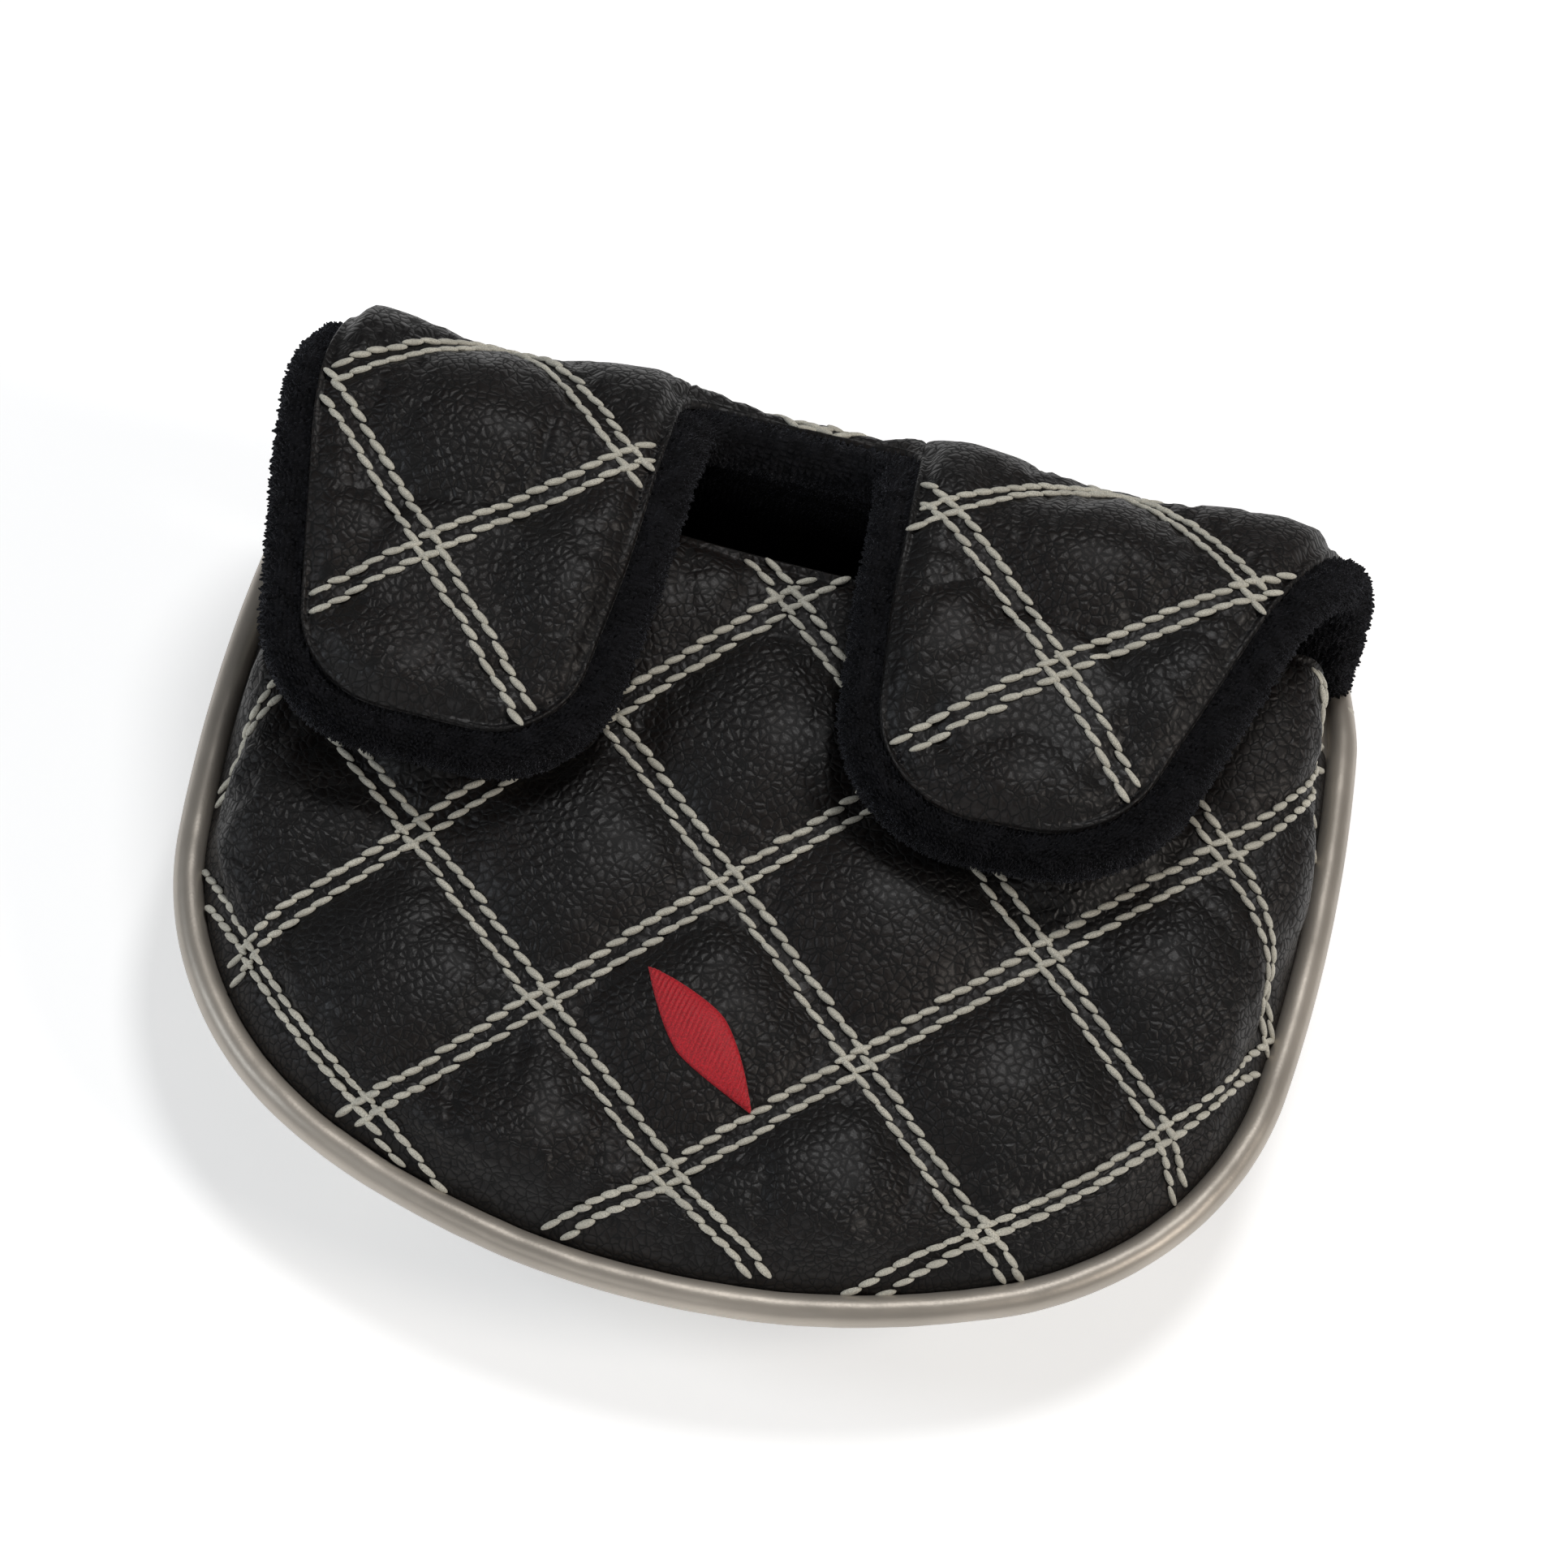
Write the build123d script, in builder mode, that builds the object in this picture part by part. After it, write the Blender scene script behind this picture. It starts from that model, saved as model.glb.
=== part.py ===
"""Quilted mallet putter head cover: a leather pouch with a fold-over front wrap.

The pouch is a crown panel and a sole tray, joined all round by a piped seam. The sole
carries on forward, turns up as the front wall, and folds back over the crown as two
flaps, one each side of the gap that the putter shaft stands in. Every panel is three
layers: leather outside, foam wadding, fleece inside. Magnets hold the flaps shut.

Millimetres, +Z up, +Y towards the front wall, origin under the middle of the cover.
"""

from build123d import *
import os
from math import acos, cos, degrees, radians, sin, sqrt, tan

# Overall sizes
cover_width = 130.0  # over the piping, heel to toe
cover_depth = 106.0  # rear of the piping to the outside of the front wall
seam_height = 17.0  # middle of the piping above the sole

# Plan of the piping's outer edge: three tangent arcs a side, rear to front
rear_sweep = 25.0  # degrees that the rear arc turns, from the middle
corner_radius = 44.0
corner_end = 84.0  # degrees turned where the corner arc meets the side arc
side_radius = 218.0

# Layers
leather = 1.2
foam = 2.2
pouch_fleece = 3.0
wrap_fleece = 5.5
sew_gap = 0.05  # between pieces that are sewn face to face

# Piping
piping_diameter = 3.6
piping_skin = 0.6
flange_width = 7.0
flange_thickness = 0.8

# Crown
crown_rear_height = 7.5  # above the seam, at the rear
crown_slope = 11.0  # degrees, rising to the front
crown_dome_radius = 320.0  # across the cover
shoulder_radius = 6.0
shaft_room = 13.1  # crown's front edge to the front wall's lining, at the middle
mouth_bow = 7.0  # how much further forward that edge is at the sides
mouth_gap = 0.5  # side walls to the front wall's lining

# Sole and front wall
sole_radius = 16.0  # bottom edge of the tray and lower corners of the front wall
heel_fold_radius = 12.0  # outside of the fold from sole to front wall
top_fold_radius = 18.0  # outside of the fold from front wall to flaps
wrap_inset = 8.0  # side of the piping to the side of the front wall's leather
fleece_margin = 3.0  # lining that shows past the leather
foam_margin = 1.5  # foam held back from the leather's edge
flap_lift = 0.8  # lining of the flaps above the crown
fold_split = 8.0  # degrees left open at a fold, where the hinge line runs
heel_split_angle = 315.0  # direction of the lower hinge line from its fold centre
top_split_angle = 50.0  # direction of the upper hinge line from its fold centre

# Flaps: leather outline in plan. Reaches are measured back from the front wall's outside,
# and the outer edges are inset from the side of the piping.
fold_reach = 6.0  # where the outline's fold widths are given
left_flap = {"side": -1, "inner_fold": -20.0, "inner_tip": -23.0, "outer_tip_inset": 11.0,
             "outer_fold_inset": 6.5, "tip_reach": 55.5, "inner_round": 9.0,
             "outer_round": 12.0}
right_flap = {"side": 1, "inner_fold": 7.5, "inner_tip": 10.0, "outer_tip_inset": 25.0,
              "outer_fold_inset": 9.0, "tip_reach": 51.5, "inner_round": 12.0,
              "outer_round": 15.0}

# Magnets and emblem
magnet_diameter = 15.0
magnet_thickness = 1.6
magnet_clearance = 0.3
left_magnet = (-39.0, 40.0)  # across, and reach back from the front wall's outside
right_magnet = (26.0, 38.0)
emblem_length = 19.0
emblem_width = 6.0
emblem_thickness = 0.7
emblem_place = (-1.0, 26.5)  # across, and depth from the rear
emblem_angle = -42.0

# Worked out from the sizes above
rear_y = -cover_depth / 2
wall_y = cover_depth / 2
piping_radius = piping_diameter / 2
panel_inset = piping_diameter + sew_gap  # outer face of the pouch inside the piping
corner_reach = corner_radius * (sin(radians(corner_end)) - sin(radians(rear_sweep)))
side_reach = side_radius * (1 - sin(radians(corner_end)))
rear_radius = (cover_width / 2 - corner_reach - side_reach) / sin(radians(rear_sweep))
pouch_wall = leather + foam + pouch_fleece
wrap_wall = leather + foam + wrap_fleece
crown_floor = seam_height + flange_thickness / 2 + sew_gap
sole_top = seam_height - flange_thickness / 2 - sew_gap
heel_fold = (wall_y - heel_fold_radius, heel_fold_radius)
mouth_side_y = wall_y - wrap_wall - mouth_gap
mouth_y = wall_y - wrap_wall - shaft_room
wrap_half_width = cover_width / 2 - wrap_inset
flap_rise = wrap_wall + flap_lift  # crown's outside to the flaps' outside
slope = radians(crown_slope)
top_fold_y = wall_y - top_fold_radius
reach = 3 * cover_width  # longer than anything here, for cutting tools

# The flaps' outside is a plane parallel to the crown's slope. The top fold is tangent
# to it and to the front wall.
plane_foot = seam_height + crown_rear_height + flap_rise / cos(slope)
tangent_y = top_fold_y - top_fold_radius * sin(slope)
tangent_z = plane_foot + (tangent_y - rear_y) * tan(slope)
top_fold = (top_fold_y, tangent_z - top_fold_radius * cos(slope))


def plan(inset, front_y):
    """Face inside the piping's outer edge, moved in by inset, up to a straight front."""
    rear_r, corner_r, side_r = (r - inset for r in (rear_radius, corner_radius, side_radius))
    side_y = rear_y + inset + rear_r * (1 - cos(radians(rear_sweep)))
    side_y += corner_r * (cos(radians(rear_sweep)) - cos(radians(corner_end)))
    front_turn = degrees(acos(cos(radians(corner_end)) - (front_y - side_y) / side_r))
    with BuildSketch() as sketch:
        with BuildLine():
            rear = JernArc((0, rear_y + inset), (1, 0), rear_r, rear_sweep)
            corner = JernArc(rear @ 1, rear % 1, corner_r, corner_end - rear_sweep)
            side = JernArc(corner @ 1, corner % 1, side_r, front_turn - corner_end)
            Line(side @ 1, (0, front_y))
            mirror(about=Plane.YZ)
        make_face()
    return sketch.sketch


def mouth_tool():
    """Everything in front of the crown's bowed front edge."""
    bow_radius = (wrap_half_width**2 + mouth_bow**2) / (2 * mouth_bow)
    with BuildPart() as tool:
        with BuildSketch():
            with Locations((0, mouth_y + bow_radius)):
                Circle(bow_radius)
        extrude(amount=reach)
    return tool.part


def dome(inset):
    """The long tilted cylinder whose top is the crown's outside, moved in by inset."""
    foot = (0, rear_y, seam_height + crown_rear_height)
    axis_point = Vector(*foot) - Vector(0, -sin(slope), cos(slope)) * crown_dome_radius
    with BuildPart() as tool:
        with BuildSketch(Plane(axis_point, x_dir=(1, 0, 0), z_dir=(0, cos(slope), sin(slope)))):
            Circle(crown_dome_radius - inset)
        extrude(amount=reach, both=True)
    return tool.part


def crown_form(inset):
    """Solid from the seam up to the crown's outside, moved in by inset."""
    with BuildPart() as form:
        with BuildSketch(Plane.XY.offset(crown_floor)):
            add(plan(panel_inset + inset, mouth_side_y))
        extrude(amount=reach)
        add(dome(inset), mode=Mode.INTERSECT)
        shoulder = shoulder_radius - inset
        if shoulder > leather / 2:
            top = form.faces().sort_by(Axis.Z)[-1]
            rim = top.edges().filter_by(lambda e: e.center().Y < mouth_side_y - sew_gap)
            fillet(rim, shoulder)
    return form.part


def crown_layer(outside, inside):
    """The crown's layer between two depths below its outside."""
    with BuildPart() as layer:
        add(crown_form(outside))
        add(crown_form(inside), mode=Mode.SUBTRACT)
        add(mouth_tool(), mode=Mode.SUBTRACT)
    return layer.part


def sole_form(inset):
    """Solid from the sole's outside, moved in by inset, up to the seam."""
    with BuildPart() as form:
        with BuildSketch(Plane.XY.offset(inset)):
            add(plan(panel_inset + inset, heel_fold[0]))
        extrude(amount=sole_top - inset)
        bottom_round = sole_radius - inset
        if bottom_round > leather / 2:
            bottom = form.faces().sort_by(Axis.Z)[0]
            edge = bottom.edges().filter_by(lambda e: e.center().Y < heel_fold[0] - sew_gap)
            fillet(edge, bottom_round)
    return form.part


def fold_sector(centre, fold_radius, outside, inside, start, end):
    """Side view of a fold from one angle to another, for the layer between two depths."""
    outer_r, inner_r = fold_radius - outside, fold_radius - inside
    with BuildSketch() as sketch:
        with BuildLine():
            outer = CenterArc(centre, outer_r, start, end - start)
            inner = CenterArc(centre, inner_r, start, end - start)
            Line(outer @ 0, inner @ 0)
            Line(outer @ 1, inner @ 1)
        make_face()
    return sketch.sketch


def wall_front(margin):
    """Front view of the wall and its folds, whose lower corners are round like the sole's."""
    with BuildSketch(Plane.XZ) as sketch:
        Rectangle(2 * (wrap_half_width + margin), top_fold[1] + top_fold_radius,
                  align=(Align.CENTER, Align.MIN))
        fillet(sketch.vertices().group_by(Axis.Z)[0], sole_radius)
    return sketch.sketch


def heel_layer(outside, inside, margin):
    """The sole's share of the fold up to the front wall."""
    with BuildPart() as layer:
        with BuildSketch(Plane.YZ):
            add(fold_sector(heel_fold, heel_fold_radius, outside, inside,
                            270, heel_split_angle - fold_split / 2))
        extrude(amount=wrap_half_width + margin, both=True)
        extrude(wall_front(margin), amount=wall_y, both=True, mode=Mode.INTERSECT)
    return layer.part


def sole_layer(outside, inside, wrap_outside, wrap_inside, margin):
    """The sole's layer, with its share of the fold up to the front wall."""
    with BuildPart() as layer:
        add(sole_form(outside))
        add(sole_form(inside), mode=Mode.SUBTRACT)
        add(heel_layer(wrap_outside, wrap_inside, margin))
    return layer.part


def front_layer(outside, inside, margin):
    """The front wall's layer: half of the lower fold, the wall, half of the upper fold."""
    with BuildPart() as layer:
        with BuildSketch(Plane.YZ):
            add(fold_sector(heel_fold, heel_fold_radius, outside, inside,
                            heel_split_angle + fold_split / 2, 360))
            add(fold_sector(top_fold, top_fold_radius, outside, inside,
                            0, top_split_angle - fold_split / 2))
            with BuildLine():
                Polyline((wall_y - outside, heel_fold[1]), (wall_y - inside, heel_fold[1]),
                         (wall_y - inside, top_fold[1]), (wall_y - outside, top_fold[1]),
                         close=True)
            make_face()
        extrude(amount=wrap_half_width + margin, both=True)
        extrude(wall_front(margin), amount=wall_y, both=True, mode=Mode.INTERSECT)
    return layer.part


def flap_outline(flap, margin):
    """Plan of a flap, moved out by margin. It runs on past the fold."""
    tip_y = wall_y - flap["tip_reach"]
    end_y = wall_y + 2 * fleece_margin
    run_on = (end_y - tip_y) / (flap["tip_reach"] - fold_reach)
    outer_tip_x = flap["side"] * (cover_width / 2 - flap["outer_tip_inset"])
    outer_fold_x = flap["side"] * (cover_width / 2 - flap["outer_fold_inset"])
    inner_end = flap["inner_tip"] + (flap["inner_fold"] - flap["inner_tip"]) * run_on
    outer_end = outer_tip_x + (outer_fold_x - outer_tip_x) * run_on
    with BuildSketch() as sketch:
        with BuildLine():
            Polyline((flap["inner_tip"], tip_y), (outer_tip_x, tip_y),
                     (outer_end, end_y), (inner_end, end_y), close=True)
        make_face()
        tips = sketch.vertices().group_by(Axis.Y)[0].sort_by(lambda v: abs(v.X))
        fillet(tips[0], flap["inner_round"])
        outer_tip = sketch.vertices().group_by(Axis.Y)[0].sort_by(lambda v: abs(v.X))[-1]
        fillet(outer_tip, flap["outer_round"])
        if margin:
            offset(amount=margin)
    return sketch.sketch


def flap_layer(flap, outside, inside, margin):
    """A flap's layer: half of the upper fold, and the plate over the crown."""
    tip_y = wall_y - flap["tip_reach"] - 2 * fleece_margin
    drop = (top_fold[0] - tip_y) / cos(slope)
    along = Vector(0, -cos(slope), -sin(slope))
    normal = Vector(0, -sin(slope), cos(slope))
    centre = Vector(0, *top_fold)
    corners = [centre + normal * (top_fold_radius - depth) + along * run
               for depth, run in ((outside, 0), (inside, 0), (inside, drop), (outside, drop))]
    with BuildPart() as layer:
        with BuildSketch(Plane.YZ):
            add(fold_sector(top_fold, top_fold_radius, outside, inside,
                            top_split_angle + fold_split / 2, 90 + crown_slope))
            with BuildLine():
                Polyline(*((c.Y, c.Z) for c in corners), close=True)
            make_face()
        extrude(amount=cover_width, both=True)
        with BuildSketch():
            add(flap_outline(flap, margin))
        extrude(amount=reach, mode=Mode.INTERSECT)
    return layer.part


def crown_plane(across, wall_reach, below):
    """Plane on the crown's outside moved in by below, facing out."""
    depth_in = cover_depth - wall_reach
    tilt = Plane((0, rear_y, seam_height + crown_rear_height), x_dir=(1, 0, 0),
                 z_dir=(0, -sin(slope), cos(slope)))
    up = Vector(across, 0, sqrt(crown_dome_radius**2 - across**2)) / crown_dome_radius
    spot = Vector(0, depth_in / cos(slope), -crown_dome_radius)
    spot += up * (crown_dome_radius - below)
    origin = tilt.from_local_coords(spot)
    facing = tilt.from_local_coords(spot + up) - origin
    return Plane(origin, x_dir=facing.cross(Vector(0, -1, 0)), z_dir=facing)


def flap_plane(across, wall_reach, below):
    """Plane on the flaps' outside moved in by below, facing out."""
    depth_in = cover_depth - wall_reach
    facing = Vector(0, -sin(slope), cos(slope))
    foot = Vector(across, rear_y + depth_in, plane_foot + depth_in * tan(slope))
    return Plane(foot - facing * below, x_dir=(1, 0, 0), z_dir=facing)


def disc(plane, diameter, thickness):
    """A round disc centred on a plane."""
    with BuildPart() as tool:
        with BuildSketch(plane):
            Circle(diameter / 2)
        extrude(amount=thickness / 2, both=True)
    return tool.part


mid_foam = leather + foam / 2
crown_spots = {side: crown_plane(*spot, mid_foam)
               for side, spot in (("left", left_magnet), ("right", right_magnet))}
flap_spots = {side: flap_plane(*spot, mid_foam)
              for side, spot in (("left", left_magnet), ("right", right_magnet))}
pocket_diameter = magnet_diameter + 2 * magnet_clearance
pieces = {}

# Crown: outer leather, wadding with two magnet pockets, lining
with BuildPart() as crown_leather:
    add(crown_layer(0, leather))
pieces["crown_leather"] = crown_leather

with BuildPart() as crown_foam:
    add(crown_layer(leather, leather + foam))
    for plane in crown_spots.values():
        add(disc(plane, pocket_diameter, 2 * foam), mode=Mode.SUBTRACT)
pieces["crown_foam"] = crown_foam

with BuildPart() as crown_fleece:
    add(crown_layer(leather + foam, pouch_wall))
pieces["crown_fleece"] = crown_fleece

# Sole tray, with its half of the fold up to the front wall
with BuildPart() as sole_leather:
    add(sole_layer(0, leather, 0, leather, 0))
pieces["sole_leather"] = sole_leather

with BuildPart() as sole_foam:
    add(sole_layer(leather, leather + foam, leather, leather + foam, -foam_margin))
pieces["sole_foam"] = sole_foam

with BuildPart() as sole_fleece:
    add(sole_layer(leather + foam, pouch_wall, leather + foam, wrap_wall, -foam_margin))
pieces["sole_fleece"] = sole_fleece

# Front wall
with BuildPart() as front_leather:
    add(front_layer(0, leather, 0))
pieces["front_leather"] = front_leather

with BuildPart() as front_foam:
    add(front_layer(leather, leather + foam, -foam_margin))
pieces["front_foam"] = front_foam

with BuildPart() as front_fleece:
    add(front_layer(leather + foam, wrap_wall, fleece_margin))
pieces["front_fleece"] = front_fleece

# Flaps and the magnets that hold them to the crown
for side, flap in (("left", left_flap), ("right", right_flap)):
    with BuildPart() as flap_leather:
        add(flap_layer(flap, 0, leather, 0))
    pieces[f"{side}_flap_leather"] = flap_leather

    with BuildPart() as flap_foam:
        add(flap_layer(flap, leather, leather + foam, -foam_margin))
        add(disc(flap_spots[side], pocket_diameter, 2 * foam), mode=Mode.SUBTRACT)
    pieces[f"{side}_flap_foam"] = flap_foam

    with BuildPart() as flap_fleece:
        add(flap_layer(flap, leather + foam, wrap_wall, fleece_margin))
    pieces[f"{side}_flap_fleece"] = flap_fleece

    with BuildPart() as flap_magnet:
        add(disc(flap_spots[side], magnet_diameter, magnet_thickness))
    pieces[f"{side}_flap_magnet"] = flap_magnet

    with BuildPart() as crown_magnet:
        add(disc(crown_spots[side], magnet_diameter, magnet_thickness))
    pieces[f"{side}_crown_magnet"] = crown_magnet

# Piping: a cord in a vinyl sleeve whose flange is sewn into the seam
with BuildSketch(Plane.XY.offset(seam_height)) as piping_plan:
    add(plan(piping_radius, mouth_side_y))
piping_path = Wire([e for e in piping_plan.sketch.edges()
                    if e.center().Y < mouth_side_y - sew_gap])

with BuildPart() as piping_cord:
    with BuildSketch(Plane(piping_path @ 0, z_dir=piping_path % 0)):
        Circle(piping_radius - piping_skin)
    sweep(path=piping_path)
pieces["piping_cord"] = piping_cord

with BuildPart() as piping_sleeve:
    with BuildSketch(Plane(piping_path @ 0, z_dir=piping_path % 0)):
        Circle(piping_radius)
        Circle(piping_radius - piping_skin, mode=Mode.SUBTRACT)
    sweep(path=piping_path)
    flange_start = piping_diameter - piping_skin + 2 * sew_gap
    with BuildSketch(Plane.XY.offset(seam_height - flange_thickness / 2)):
        add(plan(flange_start, mouth_side_y))
        add(plan(piping_diameter + flange_width, mouth_side_y), mode=Mode.SUBTRACT)
    extrude(amount=flange_thickness)
pieces["piping_sleeve"] = piping_sleeve

# Emblem: a plain embroidered lozenge, raised off the crown's leather
with BuildPart() as emblem:
    with BuildSketch():
        with Locations(Location((emblem_place[0], rear_y + emblem_place[1], 0),
                                (0, 0, emblem_angle))):
            Polygon((-emblem_length / 2, 0), (0, -emblem_width / 2),
                    (emblem_length / 2, 0), (0, emblem_width / 2), align=None)
    extrude(amount=reach)
    add(dome(-emblem_thickness), mode=Mode.INTERSECT)
    add(dome(0), mode=Mode.SUBTRACT)
pieces["emblem"] = emblem

os.makedirs("parts", exist_ok=True)
for name, piece in pieces.items():
    piece.part.label = name
    export_step(piece.part, f"parts/{name}.step")
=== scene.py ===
"""Quilted putter head cover: the visible pieces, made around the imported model."""

import math

import bmesh
import bpy
import numpy as np
from bpy.props import FloatProperty, FloatVectorProperty, IntProperty, PointerProperty
from mathutils import Matrix, Vector, kdtree


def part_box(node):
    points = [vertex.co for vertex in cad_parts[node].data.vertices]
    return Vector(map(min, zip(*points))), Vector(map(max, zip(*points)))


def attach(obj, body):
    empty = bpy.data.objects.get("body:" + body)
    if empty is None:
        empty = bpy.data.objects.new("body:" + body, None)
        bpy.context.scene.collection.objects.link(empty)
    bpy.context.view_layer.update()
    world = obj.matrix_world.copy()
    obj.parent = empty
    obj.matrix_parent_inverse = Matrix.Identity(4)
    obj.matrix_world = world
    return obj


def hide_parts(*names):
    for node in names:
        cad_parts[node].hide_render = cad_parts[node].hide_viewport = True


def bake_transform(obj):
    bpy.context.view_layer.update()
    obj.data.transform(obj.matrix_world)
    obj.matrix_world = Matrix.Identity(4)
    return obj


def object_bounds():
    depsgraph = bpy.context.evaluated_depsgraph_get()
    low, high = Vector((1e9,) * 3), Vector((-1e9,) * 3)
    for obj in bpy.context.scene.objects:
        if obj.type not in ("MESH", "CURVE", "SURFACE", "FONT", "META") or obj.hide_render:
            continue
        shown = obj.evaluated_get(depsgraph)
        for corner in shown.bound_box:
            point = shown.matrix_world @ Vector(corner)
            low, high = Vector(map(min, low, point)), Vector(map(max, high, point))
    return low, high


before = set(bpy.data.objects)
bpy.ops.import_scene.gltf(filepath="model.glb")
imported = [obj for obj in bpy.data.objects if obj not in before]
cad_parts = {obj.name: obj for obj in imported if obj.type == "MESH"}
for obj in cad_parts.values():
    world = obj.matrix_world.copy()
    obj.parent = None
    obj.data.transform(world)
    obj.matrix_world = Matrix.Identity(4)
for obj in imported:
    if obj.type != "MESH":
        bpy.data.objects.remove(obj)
cad_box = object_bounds()

bl_info = {
    "name": "Quilted head cover",
    "version": (1, 0, 0),
    "blender": (4, 5, 0),
    "location": "View3D > Sidebar > Head cover",
    "description": "Builds a quilted, piped and fleece-lined putter head cover",
    "category": "Add Mesh",
}

mm = 0.001

low, high = (Vector(corner) for corner in cad_box)
seam_low, seam_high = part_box("piping_sleeve")
seam_z = (seam_low.z + seam_high.z) / 2
piping_diameter = seam_high.z - seam_low.z
wall_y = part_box("front_leather")[1].y
crown_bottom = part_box("crown_leather")[0].z
sole_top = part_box("sole_leather")[1].z
fold_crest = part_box("left_flap_leather")[1].z


# ---------------------------------------------------------------- settings


class FormSettings(bpy.types.PropertyGroup):
    """The cover's forms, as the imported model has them."""

    rear_sweep: FloatProperty(
        name="Rear sweep", description="Angle that the rear arc turns, from the middle",
        default=math.radians(25), subtype="ANGLE")
    corner_end: FloatProperty(
        name="Corner end", description="Angle where the corner arc meets the side arc",
        default=math.radians(84), subtype="ANGLE")
    corner_radius: FloatProperty(
        name="Corner radius", description="Rear corners of the piping", default=44 * mm,
        unit="LENGTH")
    side_radius: FloatProperty(
        name="Side radius", description="Sides of the piping", default=218 * mm, unit="LENGTH")
    crown_slope: FloatProperty(
        name="Crown slope", description="Rise of the crown to the front",
        default=math.radians(11), subtype="ANGLE")
    crown_rear_height: FloatProperty(
        name="Crown rear height", description="Crown above the seam at the rear",
        default=7.5 * mm, unit="LENGTH")
    dome_radius: FloatProperty(
        name="Dome radius", description="Curve of the crown across the cover",
        default=320 * mm, unit="LENGTH")
    shoulder_radius: FloatProperty(
        name="Shoulder radius", description="Round from the crown's top to its side",
        default=6 * mm, unit="LENGTH")
    sole_radius: FloatProperty(
        name="Sole radius", description="Round from the sole to its side",
        default=16 * mm, unit="LENGTH")
    mouth_bow: FloatProperty(
        name="Mouth bow", description="How much further forward the mouth is at its sides",
        default=7 * mm, unit="LENGTH")
    shaft_room: FloatProperty(
        name="Shaft room", description="Crown's front edge to the front wall's lining",
        default=13.1 * mm, unit="LENGTH")
    heel_fold_radius: FloatProperty(
        name="Heel fold", description="Outside of the fold from sole to front wall",
        default=12 * mm, unit="LENGTH")
    top_fold_radius: FloatProperty(
        name="Top fold", description="Outside of the fold from front wall to flaps",
        default=18 * mm, unit="LENGTH")


class LayerSettings(bpy.types.PropertyGroup):
    """Thicknesses of the layers, and how fine their meshes are."""

    pad: FloatProperty(
        name="Pad", description="Leather and wadding together", default=3.4 * mm,
        unit="LENGTH")
    pouch_fleece: FloatProperty(
        name="Pouch fleece", description="Lining of the pouch", default=3 * mm,
        unit="LENGTH")
    wrap_fleece: FloatProperty(
        name="Wrap fleece", description="Lining of the front wall and flaps",
        default=5.5 * mm, unit="LENGTH")
    fleece_margin: FloatProperty(
        name="Fleece margin", description="Lining that shows past the leather",
        default=3.7 * mm, unit="LENGTH")
    pile_length: FloatProperty(
        name="Pile", description="Length of the fleece's pile", default=0.8 * mm,
        unit="LENGTH")
    leather_cell: FloatProperty(
        name="Leather mesh", description="Size of a face on the leather", default=0.6 * mm,
        unit="LENGTH")
    fleece_cell: FloatProperty(
        name="Fleece mesh", description="Size of a face on the fleece", default=0.63 * mm,
        unit="LENGTH")


class QuiltSettings(bpy.types.PropertyGroup):
    """The diamond quilting and its thread."""

    across: FloatProperty(
        name="Half diamond across", description="Half of a diamond's width",
        default=17.8 * mm, unit="LENGTH")
    along: FloatProperty(
        name="Half diamond along", description="Half of a diamond's length",
        default=17.1 * mm, unit="LENGTH")
    row_gap: FloatProperty(
        name="Row gap", description="Between the two rows of a seam", default=2.1 * mm,
        unit="LENGTH")
    channel: FloatProperty(
        name="Channel", description="How deep the rows pull the leather in",
        default=2.4 * mm, unit="LENGTH")
    puff: FloatProperty(
        name="Puff", description="How far a diamond's middle stands out",
        default=0.65 * mm, unit="LENGTH")
    swell: FloatProperty(
        name="Swell", description="Most that the wadding's push may swell a diamond",
        default=1.5 * mm, unit="LENGTH")
    pitch: FloatProperty(
        name="Stitch pitch", description="From one stitch to the next", default=2.2 * mm,
        unit="LENGTH")
    stitch: FloatProperty(
        name="Stitch length", description="Length of one stitch", default=2.4 * mm,
        unit="LENGTH")
    thread: FloatProperty(
        name="Thread", description="Thickness of the thread", default=0.88 * mm,
        unit="LENGTH")


class ColourSettings(bpy.types.PropertyGroup):
    """The cover's colours."""

    leather: FloatVectorProperty(
        name="Leather", description="Black pebbled leather", size=3, subtype="COLOR",
        default=(0.0056, 0.0049, 0.0051))
    fleece: FloatVectorProperty(
        name="Fleece", description="Black plush", size=3, subtype="COLOR",
        default=(0.0055, 0.0055, 0.0066))
    thread: FloatVectorProperty(
        name="Thread", description="Pale quilting thread", size=3, subtype="COLOR",
        default=(0.78, 0.75, 0.64))
    piping: FloatVectorProperty(
        name="Piping", description="Champagne-silver vinyl", size=3, subtype="COLOR",
        default=(0.47, 0.425, 0.37))
    emblem: FloatVectorProperty(
        name="Emblem", description="Red embroidery", size=3, subtype="COLOR",
        default=(0.56, 0.01, 0.022))


class HeadCoverSettings(bpy.types.PropertyGroup):
    """All the settings of the head cover."""

    form: PointerProperty(type=FormSettings)
    layers: PointerProperty(type=LayerSettings)
    quilt: PointerProperty(type=QuiltSettings)
    colours: PointerProperty(type=ColourSettings)
    seed: IntProperty(name="Seed", description="Start of the irregularities", default=7)


# ---------------------------------------------------------------- forms


def smooth(share):
    """Ease from 0 to 1."""
    share = np.clip(share, 0, 1)
    return share * share * (3 - 2 * share)


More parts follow.
